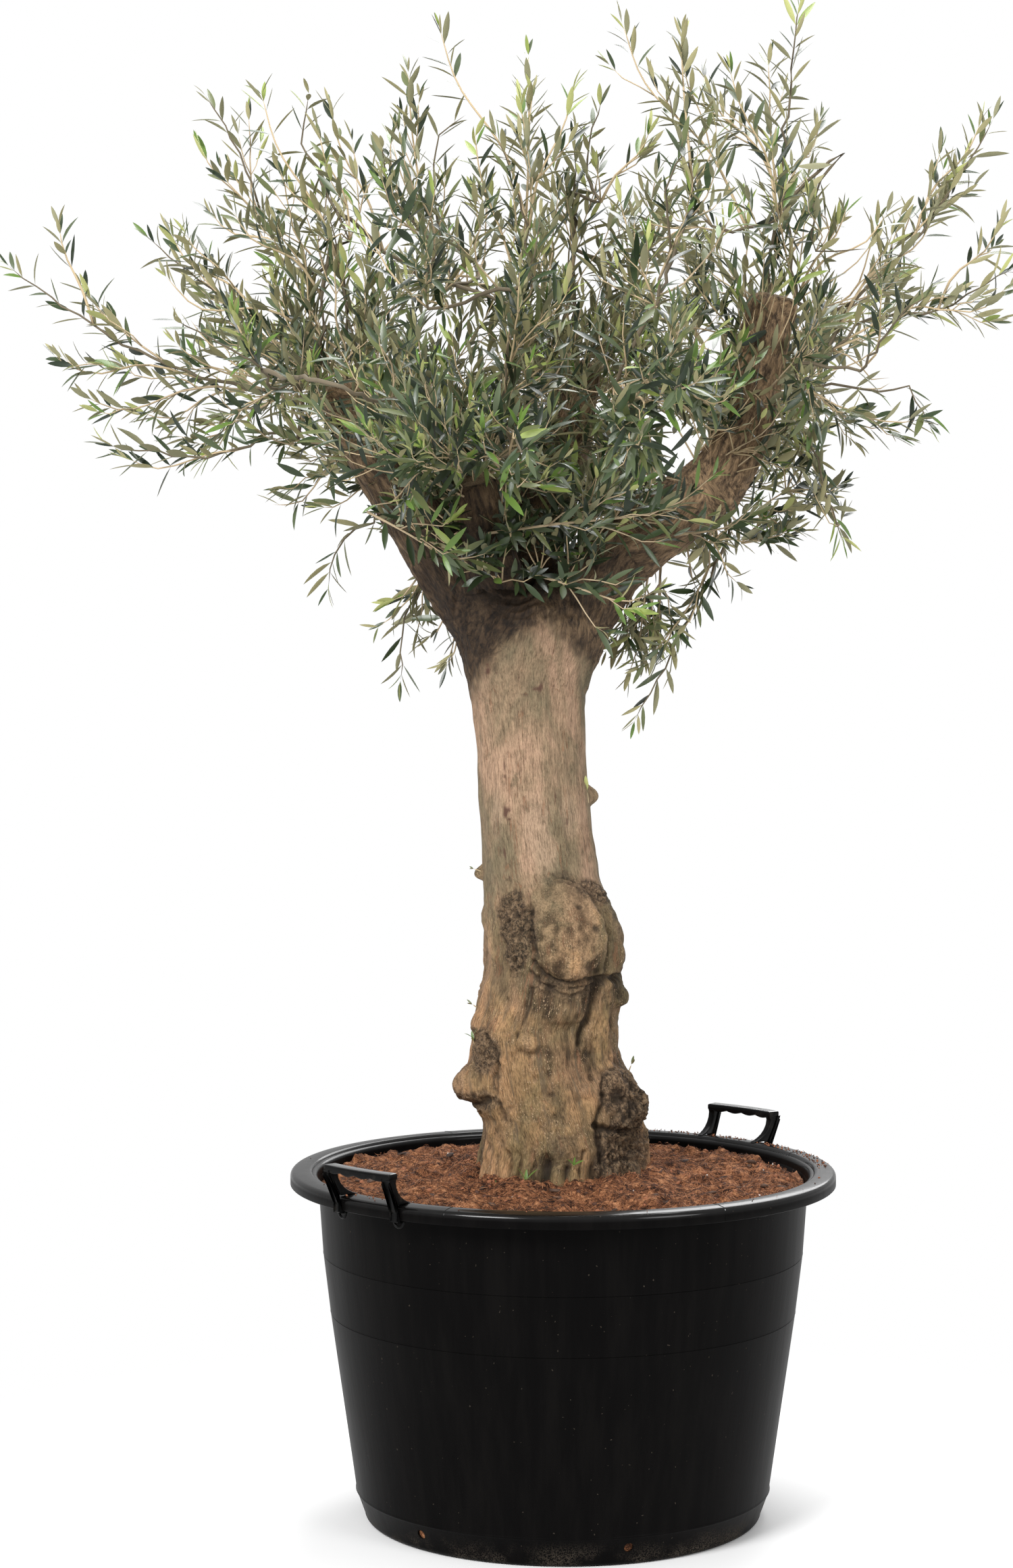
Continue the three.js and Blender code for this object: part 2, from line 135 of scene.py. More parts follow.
class Finish:
    """A material being put together: its nodes and the shader that they feed."""

    def __init__(self, name, shader="ShaderNodeBsdfPrincipled", **fixed):
        self.material = bpy.data.materials.new(name)
        self.material.use_nodes = True
        self.tree = self.material.node_tree
        self.tree.nodes.clear()
        self.shader = self.tree.nodes.new(shader)
        self.out = self.tree.nodes.new("ShaderNodeOutputMaterial")
        self.tree.links.new(self.shader.outputs[0], self.out.inputs["Surface"])
        self.feed(**fixed)

    def put(self, node, socket, value):
        if isinstance(value, Link):
            self.tree.links.new(value.socket, node.inputs[socket])
        else:
            node.inputs[socket].default_value = value

    def node(self, kind, settings=None, sockets=None, output=0):
        """Adds a node of a kind: its settings, a ramp's stops among them, and what its sockets take."""
        made = self.tree.nodes.new(kind)
        for key, value in (settings or {}).items():
            if key == "stops":
                ramp = made.color_ramp
                while len(ramp.elements) < len(value):
                    ramp.elements.new(0.5)
                for element, (place, colour) in zip(ramp.elements, value):
                    element.position = place
                    element.color = (*colour, 1)
            else:
                setattr(made, key, value)
        for key, value in (sockets or {}).items():
            self.put(made, key, value)
        return Link(self, made.outputs[output])

    def feed(self, **sockets):
        """Gives the shader's sockets their values, with _ for the space in a socket's name."""
        for key, value in sockets.items():
            self.put(self.shader, key.replace("_", " "), value)

    def stretched(self, place, stretch):
        """A place with the pattern drawn out along each axis."""
        return self.node("ShaderNodeMapping", sockets={"Vector": place, "Scale": stretch})

    def place(self, stretch=(1, 1, 1)):
        """Where on the object, in metres."""
        return self.stretched(self.node("ShaderNodeTexCoord", output="Object"), stretch)

    def height(self):
        return self.node("ShaderNodeSeparateXYZ", sockets={0: self.place()}, output=2)

    def read(self, name, output="Fac"):
        """What a mesh says of itself under a name."""
        return self.node("ShaderNodeAttribute", {"attribute_name": name}, output=output)

    def noise(self, place, scale, detail=4, roughness=0.6, distortion=0.0):
        sockets = {"Vector": place, "Scale": scale, "Detail": detail}
        sockets |= {"Roughness": roughness, "Distortion": distortion}
        return self.node("ShaderNodeTexNoise", sockets=sockets)

    def ramp(self, factor, *stops):
        return self.node("ShaderNodeValToRGB", {"stops": stops}, {0: factor})

    def blend(self, share, first, second, way="MIX"):
        """Two colours mixed, the second one by its share."""
        first, second = [(*c, 1) if isinstance(c, tuple) else c for c in (first, second)]
        settings = {"data_type": "RGBA", "blend_type": way}
        return self.node("ShaderNodeMix", settings, {0: share, 6: first, 7: second}, output=2)

    def tinted(self, colour, by):
        """A colour multiplied by another one."""
        return self.blend(1.0, colour, by, "MULTIPLY")

    def bump(self, height, depth, strength=1.0, under=None):
        sockets = {"Height": height, "Distance": depth, "Strength": strength}
        if under is not None:
            sockets["Normal"] = under
        return self.node("ShaderNodeBump", sockets=sockets)


def shown(name, mesh, *finishes):
    """Puts a mesh in the scene under its name, with its finishes."""
    for finish in finishes:
        mesh.materials.append(finish.material)
    thing = bpy.data.objects.new(name, mesh)
    scene.collection.objects.link(thing)
    return thing


def mesh_of(name, shape, crease=None):
    """A bmesh made a smooth mesh, its normals outwards, sharp where faces meet over a crease angle."""
    bmesh.ops.remove_doubles(shape, verts=shape.verts, dist=1e-6)
    bmesh.ops.recalc_face_normals(shape, faces=shape.faces)
    mesh = bpy.data.meshes.new(name)
    shape.to_mesh(mesh)
    shape.free()
    mesh.shade_smooth()
    if crease is not None:
        mesh.set_sharp_from_angle(angle=math.radians(crease))
    return mesh


# The floor is matt where the tub's soft shadow falls, and gives its own white light further out.
sweep = Finish("white_sweep", "ShaderNodeMixShader")
matt = sweep.node("ShaderNodeBsdfDiffuse", sockets={"Color": (FLOOR_GREY, FLOOR_GREY, FLOOR_GREY, 1)})
glow = sweep.node("ShaderNodeEmission", sockets={"Color": (1, 1, 1, 1), "Strength": 1.0})
flat_place = sweep.place((1, 1, 0))
distance = sweep.node("ShaderNodeVectorMath", {"operation": "LENGTH"}, {0: flat_place}, output="Value")
sweep.put(sweep.shader, 0, distance.between(*FLOOR_GLOWS))
sweep.put(sweep.shader, 1, matt)
sweep.put(sweep.shader, 2, glow)

shape = bmesh.new()
bmesh.ops.create_circle(shape, cap_ends=True, segments=64, radius=FLOOR_REACH)
shown("studio_floor", mesh_of("studio_floor", shape), sweep)

room = bpy.data.worlds.new("white_room")
room.use_nodes = True
scene.world = room
room_nodes, room_links = room.node_tree.nodes, room.node_tree.links
lights = room_nodes["Background"]
lights.inputs["Strength"].default_value = ROOM_LIGHT
seen = room_nodes.new("ShaderNodeBackground")
for background in (lights, seen):
    background.inputs["Color"].default_value = (1, 1, 1, 1)
ray = room_nodes.new("ShaderNodeLightPath")
either = room_nodes.new("ShaderNodeMixShader")
for number, output in enumerate((ray.outputs["Is Camera Ray"], lights.outputs[0], seen.outputs[0])):
    room_links.new(output, either.inputs[number])
room_links.new(either.outputs[0], room_nodes["World Output"].inputs[0])

for name, (place, target, size, power) in LAMPS.items():
    lamp = bpy.data.lights.new(name, "AREA")
    lamp.shape = "DISK"
    lamp.size = size
    lamp.energy = power
    holder = bpy.data.objects.new(name, lamp)
    holder.location = place
    holder.rotation_euler = (Vector(target) - Vector(place)).to_track_quat("-Z", "Y").to_euler()
    scene.collection.objects.link(holder)


# ---------- tub ----------
# A round nursery tub, moulded in one shot of black plastic: a tapering wall with two fine parting rings,
# a bead over the foot, a wide flange with a turned-down lip, and six drain holes just over the floor.

_, tub_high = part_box("tub")
RIM = tub_high.x
TOP = tub_high.z
FLANGE = 0.041
LIP_DROP = 0.0265
LIP_WALL = 0.005
WALL = 0.0055
FLOOR = 0.006
FOOT = 0.365
FOOT_ROUND = 0.012
WALL_TOP = 0.450
WALL_BENDS = {0.054: 0.380, 0.382: 0.427, 0.490: 0.440}  # where the taper changes: height, and radius there
BEAD, *PARTINGS = WALL_BENDS
BEAD_OUT = 0.0016
PARTING_RING = (  # a fine groove and the lip over it: height from the parting, how far in
    (-0.003, 0), (-0.0007, 0), (-0.0003, 0.0006), (0.0003, 0.0006), (0.0007, -0.0004), (0.004, 0),
)
DRAIN_COUNT = 6
DRAIN_RADIUS = 0.0085
DRAIN_HEIGHT = 0.034
DRAIN_FIRST = 18
TUB_CREASE = 50
TURNS = 216

black_poly = Finish(
    "black_polyethylene", IOR=1.5, Specular_IOR_Level=0.036, Coat_Roughness=0.12, Coat_IOR=1.6
)
grime_place = black_poly.place()
scuffs = black_poly.noise(grime_place, 9, 6, 0.65)
grain = black_poly.noise(grime_place, 420, 2, 0.5)
streaks = black_poly.noise(black_poly.place((1, 1, 0.08)), 34, 5, 0.6)
height = black_poly.height()
dusty_foot = 1 - height.between(0.004, 0.055)
specks = black_poly.noise(grime_place, 190, 0, 0.5).between(0.84, 0.87)
dust = dusty_foot * scuffs.between(0.44, 0.66) * grain.between(0.42, 0.6) + specks * 0.6
rim_shine = height.between(0.628, 0.640)
poly_dark = black_poly.blend(streaks.between(0.35, 0.75), (0.0019, 0.0017, 0.0017), (0.0036, 0.0032, 0.0030))
black_poly.feed(
    Base_Color=black_poly.blend(dust * 0.30, poly_dark, (0.16, 0.13, 0.10)),
    Roughness=0.34 + streaks * 0.12 + dust * 0.2,
    Coat_Weight=rim_shine * 0.46,
    Normal=black_poly.bump(grain, 0.00012, 0.6, black_poly.bump(streaks, 0.0009, 0.5)),
)


def arc(radius_at, height_at, size, start, stop, steps):
    """Points of a rounded corner in a turned profile, from one angle to another in degrees."""
    angles = [math.radians(start + (stop - start) * step / steps) for step in range(steps + 1)]
    return [(radius_at + size * math.cos(a), height_at + size * math.sin(a)) for a in angles]


def turned(shape, profile, steps=TURNS):
    """Spins a profile of (radius, height) points about the tub's axis."""
    points = [shape.verts.new((radius, 0, height)) for radius, height in profile]
    edges = [shape.edges.new(pair) for pair in zip(points, points[1:])]
    bmesh.ops.spin(
        shape, geom=points + edges, cent=(0, 0, 0), axis=(0, 0, 1), angle=math.tau, steps=steps,
        use_merge=True,
    )


def outward(degrees):
    """Unit vector at an angle in degrees round from the front towards the right."""
    angle = math.radians(degrees)
    return Vector((math.sin(angle), -math.cos(angle), 0))


def wall_radius(height):
    """Radius of the tub's outer wall at a height."""
    heights = [0.0, *WALL_BENDS, TOP - 0.010]
    radii = [FOOT, *WALL_BENDS.values(), WALL_TOP]
    return float(np.interp(height, heights, radii))


outer = [(0.0, 0.0), (FOOT - FOOT_ROUND, 0.0), *arc(FOOT - FOOT_ROUND, FOOT_ROUND, FOOT_ROUND, -80, 0, 5)]
for rise in (-0.004, -0.0015, 0.0, 0.0015, 0.004):
    outer.append((wall_radius(BEAD + rise) + BEAD_OUT * (1 - abs(rise) / 0.004), BEAD + rise))
for parting in PARTINGS:
    for rise, sunk in PARTING_RING:
        outer.append((wall_radius(parting + rise) - sunk, parting + rise))
lip_foot = TOP - LIP_DROP
inner_lip = RIM - LIP_WALL
outer += [
    (WALL_TOP - 0.001, TOP - 0.024),
    *arc(WALL_TOP + 0.008, TOP - 0.0135, 0.008, 180, 90, 4),
    (inner_lip - 0.003, TOP - 0.0055),
    (inner_lip, TOP - 0.009),
    (inner_lip, lip_foot + 0.0012),
    (inner_lip + 0.0012, lip_foot),
    (RIM - 0.0012, lip_foot),
    (RIM, lip_foot + 0.0012),
    *arc(RIM - 0.009, TOP - 0.0105, 0.009, 0, 90, 6),
    (RIM - FLANGE / 2, TOP),
    *arc(RIM - FLANGE + 0.007, TOP - 0.007, 0.007, 90, 165, 5),
    (WALL_TOP - WALL, TOP - 0.030),
]
outer += [(wall_radius(z) - WALL, z) for z in reversed(WALL_BENDS)]
outer += [(FOOT - WALL + 0.001, FLOOR + 0.006), (FOOT - WALL - 0.005, FLOOR), (0.0, FLOOR)]

shape = bmesh.new()
turned(shape, outer)
tub = shown("tub_moulding", mesh_of("tub_moulding", shape, TUB_CREASE), black_poly)

# The drain holes are cut square through the wall.
shape = bmesh.new()
for drain in range(DRAIN_COUNT):
    way = outward(DRAIN_FIRST + 360 / DRAIN_COUNT * drain)
    middle = way * (FOOT + WALL)
    turn = way.to_track_quat("Z", "Y").to_matrix().to_4x4()
    placed = Matrix.Translation((middle.x, middle.y, DRAIN_HEIGHT)) @ turn
    bmesh.ops.create_cone(
        shape, cap_ends=True, segments=20, radius1=DRAIN_RADIUS, radius2=DRAIN_RADIUS, depth=0.06,
        matrix=placed,
    )
drills = shown("drills", mesh_of("drills", shape))
cut = tub.modifiers.new("drains", "BOOLEAN")
cut.operation = "DIFFERENCE"
cut.solver = "EXACT"
cut.object = drills


def settle(thing):
    """Makes a piece's modifiers part of its mesh."""
    seen = thing.evaluated_get(bpy.context.evaluated_depsgraph_get())
    finished = bpy.data.meshes.new_from_object(seen)
    thing.modifiers.clear()
    thing.data = finished
    return thing


settle(tub)
bpy.data.objects.remove(drills)
tub.data.set_sharp_from_angle(angle=math.radians(TUB_CREASE))
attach(tub, "root")
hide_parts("tub")


# ---------- rim tabs and seams ----------
# Small moulded tabs under the flange where the mould's slides met, and raised seams across the flange and
# down its lip. They are one with the tub.

TAB_ANGLES = (-58, 47, 122, -138)
TAB_SIZE = (0.026, 0.012, 0.010)
SEAM_ANGLES = (-24, 34, 112, 176, -152)
SEAM_WIDTH = 0.0022


def edges_of(verts):
    return list({edge for vert in verts for edge in vert.link_edges})


def rounded(shape, edges, size, segments=2):
    bmesh.ops.bevel(
        shape, geom=edges, offset=size, segments=segments, affect="EDGES", profile=0.5, material=-1,
        clamp_overlap=True,
    )


shape = bmesh.new()
for degrees in TAB_ANGLES:
    way = outward(degrees)
    middle = way * (WALL_TOP + 0.022)
    turn = Matrix.Rotation(math.radians(degrees), 4, "Z")
    placed = Matrix.Translation((middle.x, middle.y, TOP - LIP_DROP - 0.002)) @ turn
    made = bmesh.ops.create_cube(shape, size=1, matrix=placed @ Matrix.Diagonal((*TAB_SIZE, 1)))
    rounded(shape, edges_of(made["verts"]), 0.0015)
for degrees in SEAM_ANGLES:
    # A seam is a low rib along the flange's section: from its inner brink, over the top and down the lip.
    section = [
        (RIM - FLANGE + 0.0005, TOP - 0.009),
        *arc(RIM - FLANGE + 0.007, TOP - 0.007, 0.0074, 165, 90, 4),
        (RIM - FLANGE / 2, TOP + 0.0004),
        *arc(RIM - 0.009, TOP - 0.0105, 0.0094, 90, 0, 6),
        (RIM + 0.0004, TOP - LIP_DROP + 0.002),
    ]
    half = math.degrees(SEAM_WIDTH / 2 / RIM)
    sides = []
    for offset in (-half, 0, half):
        way = outward(degrees + offset)
        lifted = 0.0003 if offset == 0 else -0.0006
        side = []
        for radius, height in section:
            outer = way * (radius + (lifted if radius > RIM - 0.006 else 0))
            side.append(shape.verts.new(outer + Vector((0, 0, height + lifted))))
        sides.append(side)
    for left, right in zip(sides, [*sides[1:], sides[0]]):
        for low in range(len(section) - 1):
            shape.faces.new((left[low], right[low], right[low + 1], left[low + 1]))
    for end in (0, -1):
        shape.faces.new([side[end] for side in sides])
seams = shown("tub_seams", mesh_of("tub_seams", shape, 60), black_poly)
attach(seams, "root")


# ---------- handles ----------
# Two black grips, each moulded in one: a flat bar with finger bumps on two plate posts that flare inwards
# over the flange, run down the lip in a strap and clip under it with a half-round loop.

GRIP_LENGTH = 0.158
GRIP_HEIGHT = 0.057
GRIP_THICK = 0.011
GRIP_INNER = 0.504
GRIP_OUTER = 0.528
POST_ALONG = 0.0715
POST_THICK = 0.013
POST_WIDTHS = {  # share of the way up the post, and how wide it is there
    0: 0.0415, 0.07: 0.031, 0.16: 0.0235, 0.28: 0.0175, 0.44: 0.0140, 0.62: 0.0132, 0.82: 0.0160, 1: 0.0235,
}
POST_FOOT = RIM + 0.0035
STRAP_WIDTH = 0.0175
GRIP_SHIFT = 0.8
STRAP_THICK = 0.0045
RIB_WIDTH = 0.0022
RIB_ASIDE = 0.0068
LOOP_RADIUS = 0.0115
LOOP_WIRE = 0.0024
LOOP_SHIFT = 0.004
BUMP_COUNT = 4
BUMP_DEPTH = 0.0035
BUMP_STEPS = 36

grip_poly = Finish("grip_polyethylene", IOR=1.5, Specular_IOR_Level=0.085, Coat_Roughness=0.14)
grip_grain = grip_poly.noise(grip_poly.place(), 300, 3, 0.6)
grip_wear = grip_poly.noise(grip_poly.place(), 40, 5, 0.6)
grip_poly.feed(
    Base_Color=grip_poly.blend(
        grip_wear.between(0.55, 0.75) * 0.18, (0.0034, 0.0034, 0.0034), (0.08, 0.068, 0.055)
    ),
    Roughness=0.26 + grip_wear * 0.2,
    Coat_Weight=grip_poly.height().between(TOP + GRIP_HEIGHT - 0.002, TOP + GRIP_HEIGHT - 0.0005),
    Normal=grip_poly.bump(grip_grain, 0.00015, 0.7),
)


def extruded(shape, outline, way):
    """Pulls a flat outline out along a way, and gives the corners of both its ends."""
    face = shape.faces.new([shape.verts.new(corner) for corner in outline])
    grown = bmesh.ops.extrude_face_region(shape, geom=[face])
    moved = [part for part in grown["geom"] if isinstance(part, bmesh.types.BMVert)]
    bmesh.ops.translate(shape, verts=moved, vec=way)
    return [*moved, *face.verts]


def plate(shape, outline, thick, along, bevel):
    """A flat plate of an outline in (radius, height above the rim), across the rim at a place along it."""
    corners = extruded(shape, [(along - thick / 2, radius, up) for radius, up in outline], (thick, 0, 0))
    rounded(shape, edges_of(corners), bevel)


def bent_round_rim(shape, degrees):
    """Bends a shape in (distance along the rim, radius, height above it) round to its place on the tub."""
    for vert in shape.verts:
        along, radius, up = vert.co
        way = outward(degrees + math.degrees(along / RIM)) * radius
        vert.co = (way.x, way.y, TOP + up)


def handle(name, node):
    low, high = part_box(node)
    middle = (low + high) / 2
    degrees = math.degrees(math.atan2(middle.x, -middle.y)) + GRIP_SHIFT
    shape = bmesh.new()
    # The grip: its outline along the rim, with bumps between the posts, pulled out to its width.
    half = GRIP_LENGTH / 2
    under = GRIP_HEIGHT - GRIP_THICK
    top, bottom = [], []
    for step in range(BUMP_STEPS + 1):
        eased = 0.0012 * (step in (0, BUMP_STEPS))
        top.append((-half + GRIP_LENGTH * step / BUMP_STEPS, GRIP_HEIGHT - eased))
        along = half - GRIP_LENGTH * step / BUMP_STEPS
        wave = abs(math.sin(math.pi * BUMP_COUNT * (along + POST_ALONG) / (2 * POST_ALONG)))
        bottom.append((along, under - BUMP_DEPTH * wave * (abs(along) < POST_ALONG)))
    extruded(shape, [(along, GRIP_INNER, up) for along, up in top + bottom], (0, GRIP_OUTER - GRIP_INNER, 0))
    brinks = [e for e in shape.edges if len(e.link_faces) == 2 and e.calc_face_angle(0) > 1.0]
    rounded(shape, brinks, 0.0022, 3)
    post_top = under + 0.003
    lean = GRIP_OUTER - 0.001 - POST_FOOT
    flare = POST_WIDTHS.items()
    post = [
        *[(POST_FOOT + lean * share - width, 0.0005 + post_top * share) for share, width in flare],
        (GRIP_OUTER - 0.001, post_top),
        (POST_FOOT, 0.006),
        (RIM + 0.001, 0.0005),
    ]
    strap_out = RIM + STRAP_THICK
    strap = [
        (GRIP_OUTER - 0.003, under + 0.001),
        (GRIP_OUTER + 0.0005, under + 0.001),
        (strap_out, 0.002),
        (strap_out + 0.0005, -LIP_DROP - 0.003),
        (RIM - 0.010, -LIP_DROP - 0.004),
        (RIM - 0.010, -LIP_DROP - 0.0008),
        (RIM + 0.0006, -LIP_DROP - 0.0004),
    ]
    rib = [
        (GRIP_OUTER - 0.002, under - 0.004),
        (GRIP_OUTER + 0.0016, under - 0.006),
        (strap_out + 0.0022, 0.002),
        (strap_out + 0.0022, -LIP_DROP),
        (RIM + 0.002, -LIP_DROP),
    ]
    for along in (-POST_ALONG, POST_ALONG):
        plate(shape, post, POST_THICK, along, 0.0018)
        plate(shape, strap, STRAP_WIDTH, along, 0.0010)
        for aside in (-RIB_ASIDE, RIB_ASIDE):
            plate(shape, rib, RIB_WIDTH, along + aside, 0.0007)
        # The loop: a round wire spun half-way round under the strap.
        loop = (along + LOOP_SHIFT, RIM - 0.004, -LIP_DROP - 0.002)
        wire = bmesh.ops.create_circle(
            shape, cap_ends=False, segments=10, radius=LOOP_WIRE,
            matrix=Matrix.Translation((loop[0] - LOOP_RADIUS + 0.001, *loop[1:])),
        )
        bmesh.ops.spin(
            shape, geom=wire["verts"] + edges_of(wire["verts"]), cent=loop, axis=(0, 1, 0), angle=-math.pi,
            steps=14, use_merge=False,
        )
        bmesh.ops.holes_fill(shape, edges=[e for e in shape.edges if len(e.link_faces) == 1])
    bent_round_rim(shape, degrees)
    piece = shown(name, mesh_of(name, shape, 40), grip_poly)
    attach(piece, "root")
    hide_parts(node)


handle("grip_front", "handle_front")
handle("grip_back", "handle_back")


# ---------- potting mix ----------
# Damp coir heaped gently in the tub up to a finger under the rim: a lumpy bed, loose fibres and strands
# lying on it, flat chips of dark bark, pith crumbs and a few white grains, some spilt on the flange.

SOIL_SEED = 11
MIX_REACH = 0.4415
MIX_EDGE = 0.6180
MIX_HEAP = 0.6245
MIX_RINGS = 112
MIX_TURNS = 460
FIBRE_COUNT = 14000
CHIP_COUNT = 60
CRUMB_COUNT = 700
GRAIN_COUNT = 22
BED_SIDES = (0.590, 0.490, 0.382, 0.060, 0.035, 0.010)
SPILLS = (  # crumbs on the flange: degrees round, spread, how many
    (120, 14, 90), (146, 8, 60), (100, 10, 40), (-43, 7, 14), (160, 22, 50), (20, 60, 16),
)
luck = np.random.default_rng(SOIL_SEED)


def hashed(cell, seed):
    """A number from 0 to 1 for each whole-numbered cell, the same on each run."""
    mixed = cell[..., 0] * 374761393 + cell[..., 1] * 668265263 + cell[..., 2] * 2147483647
    mixed = mixed + seed * 1442695041
    mixed = (mixed ^ (mixed >> 13)) * 1274126177
    mixed = (mixed ^ (mixed >> 16)) & 0xFFFFFF
    return mixed / float(0xFFFFFF)


def lumps(points, size, seed=0):
    """Smooth unevenness from -1 to 1 at each point, its bumps about one size across."""
    scaled = np.asarray(points, float) / size + 1000.0
    cell = np.floor(scaled).astype(np.int64)
    part = scaled - cell
    part = part * part * (3 - 2 * part)
    total = np.zeros(len(scaled))
    for corner in np.ndindex(2, 2, 2):
        weight = np.prod(np.where(corner, part, 1 - part), axis=1)
        total += weight * hashed(cell + np.array(corner), seed)
    return total * 2 - 1


def mix_height(points):
    """Height of the bed at places on it, from its edge to its heap round the trunk."""
    flat = np.column_stack([points[:, :2], np.zeros(len(points))])
    radius = np.linalg.norm(flat, axis=1)
    heap = np.clip(1 - (radius - 0.12) / (MIX_REACH - 0.12), 0, 1)
    at_trunk = np.exp(-((np.clip(radius - 0.135, 0, None) / 0.075) ** 2))
    level = MIX_EDGE + (MIX_HEAP - MIX_EDGE) * heap + 0.019 * at_trunk
    rough = 0.0050 * lumps(flat, 0.11, 1) + 0.0068 * lumps(flat, 0.042, 2)
    return level + rough + 0.0074 * lumps(flat, 0.022, 3) + 0.0040 * lumps(flat, 0.011, 4)


def rows_of(items, key):
    """The vector that each of a mesh's items has under a key, as rows."""
    found = np.empty(len(items) * 3, np.float32)
    items.foreach_get(key, found)
    return found.reshape(-1, 3).astype(float)


def set_coords(mesh, places):
    mesh.vertices.foreach_set("co", np.asarray(places, np.float32).ravel())
    mesh.update()


coir = Finish("coir", Specular_IOR_Level=0.25)
coir_place = coir.place()
coarse = coir.noise(coir_place, 24, 6, 0.75)
clumps = coir.noise(coir_place, 92, 5, 0.7, 0.5)
shreds = coir.noise(coir_place, 240, 6, 0.8, 1.2)
fine = coir.noise(coir_place, 620, 3, 0.7)
# The coir's own patchy tone, its darkest stops painted shade between the clumps.
mixed = coarse * 0.34 + clumps * 0.28 + shreds * 0.38
coir.feed(
    Base_Color=coir.ramp(
        mixed,
        (0.425, (0.008, 0.0032, 0.0016)),
        (0.465, (0.048, 0.017, 0.007)),
        (0.505, (0.185, 0.070, 0.030)),
        (0.55, (0.400, 0.175, 0.078)),
        (0.60, (0.640, 0.335, 0.175)),
    ),
    Roughness=0.92,
    Normal=coir.bump(shreds * 0.7 + fine * 0.3, 0.004, 1.0),
)

shape = bmesh.new()
bed_top = [(0.05 + (MIX_REACH - 0.05) * step / MIX_RINGS, MIX_HEAP) for step in range(MIX_RINGS + 1)]
bed_side = [(wall_radius(z) - WALL - 0.0006, z) for z in BED_SIDES]
bed_floor = FLOOR + 0.0006
bed_foot = [(FOOT - WALL - 0.006, bed_floor), (0.0, bed_floor)]
turned(shape, [(0.0, MIX_HEAP), *bed_top, *bed_side, *bed_foot], MIX_TURNS)
bed_mesh = mesh_of("coir_bed", shape)
bed_points = rows_of(bed_mesh.vertices, "co")
on_top = bed_points[:, 2] > 0.600
bed_points[on_top, 2] = mix_height(bed_points[on_top])
wall_side = ~on_top & (bed_points[:, 2] > FLOOR + 0.002)
roughness_out = 1 - 0.004 * np.clip(lumps(bed_points, 0.012, 5), 0, 1)
bed_points[wall_side, :2] *= roughness_out[wall_side, None]
set_coords(bed_mesh, bed_points)
bed = shown("coir_bed", bed_mesh, coir)
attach(bed, "root")
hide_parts("soil")


def joined(name, points, faces, tones=None, finishes=(), smooth=True):
    """One mesh of many small things alike: the places of each one's corners, and the faces all share."""
    count, corners, _ = points.shape
    faces = np.asarray(faces)
    sides = faces.shape[1]
    index = (faces[None] + corners * np.arange(count)[:, None, None]).reshape(-1)
    mesh = bpy.data.meshes.new(name)
    mesh.vertices.add(count * corners)
    mesh.vertices.foreach_set("co", points.astype(np.float32).ravel())
    mesh.loops.add(len(index))
    mesh.loops.foreach_set("vertex_index", index.astype(np.int32))
    total = len(index) // sides
    mesh.polygons.add(total)
    mesh.polygons.foreach_set("loop_start", np.arange(0, len(index), sides, dtype=np.int32))
    if tones is not None:
        mesh.polygons.foreach_set("material_index", np.asarray(tones, np.int32).ravel())
    mesh.update(calc_edges=True)
    if smooth:
        mesh.shade_smooth()
    return shown(name, mesh, *finishes)


# A fibre: a thin three-sided strand, pointed at both ends and bent in the middle.
SPINDLE = [
    (0, 2, 1), (0, 3, 2), (0, 1, 3),
    (1, 2, 5), (1, 5, 4), (2, 3, 6), (2, 6, 5), (3, 1, 4), (3, 4, 6),
    (4, 5, 7), (5, 6, 7), (6, 4, 7),
]


def strands(starts, ends, sag, thick):
    """Corners of pointed strands from starts to ends, their middles pushed off the line by sag."""
    way = ends - starts
    length = np.linalg.norm(way, axis=1, keepdims=True)
    way = way / length
    side = np.cross(way, np.array([0.0, 0.0, 1.0]) + 0.01)
    side /= np.linalg.norm(side, axis=1, keepdims=True)
    up = np.cross(side, way)
    rings = []
    for share in (0.33, 0.68):
        middle = starts + (ends - starts) * share + sag
        for turn in range(3):
            angle = math.tau * turn / 3
            rings.append(middle + (side * math.cos(angle) + up * math.sin(angle)) * thick)
    return np.stack([starts, *rings, ends], axis=1)


def plain(name, colour, roughness=0.8, **more):
    return Finish(name, Base_Color=(*colour, 1), Roughness=roughness, **more)


fibre_tones = [
    plain("fibre_rust", (0.250, 0.092, 0.036)),
    plain("fibre_tan", (0.46, 0.215, 0.10)),
    plain("fibre_dark", (0.040, 0.016, 0.009)),
    plain("fibre_orange", (0.340, 0.140, 0.062)),
]
reach = np.sqrt(luck.uniform(0.10 ** 2, (MIX_REACH - 0.008) ** 2, FIBRE_COUNT))
bearing = luck.uniform(0, math.tau, FIBRE_COUNT)
middles = np.column_stack([reach * np.cos(bearing), reach * np.sin(bearing), np.zeros(FIBRE_COUNT)])
lie = luck.uniform(0, math.tau, FIBRE_COUNT)
long = luck.gamma(4.0, 0.0028, FIBRE_COUNT).clip(0.005, 0.045) / 2
along = np.column_stack([np.cos(lie), np.sin(lie), luck.normal(0, 0.22, FIBRE_COUNT)]) * long[:, None]
starts, ends = middles - along, middles + along
for tips in (starts, ends):
    far = np.linalg.norm(tips[:, :2], axis=1)
    tips[:, :2] *= np.minimum(1, (MIX_REACH - 0.002) / far)[:, None]
    tips[:, 2] += mix_height(tips) + luck.uniform(-0.0015, 0.0028, FIBRE_COUNT)
sag = luck.normal(0, 0.0022, (FIBRE_COUNT, 3)) + [0, 0, 0.0012]
thick = luck.uniform(0.00022, 0.00055, (FIBRE_COUNT, 1))
deal = luck.choice(4, FIBRE_COUNT, p=[0.42, 0.16, 0.30, 0.12])
fibres = joined(
    "coir_fibres", strands(starts, ends, sag, thick), SPINDLE, np.repeat(deal, len(SPINDLE)), fibre_tones
)
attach(fibres, "root")


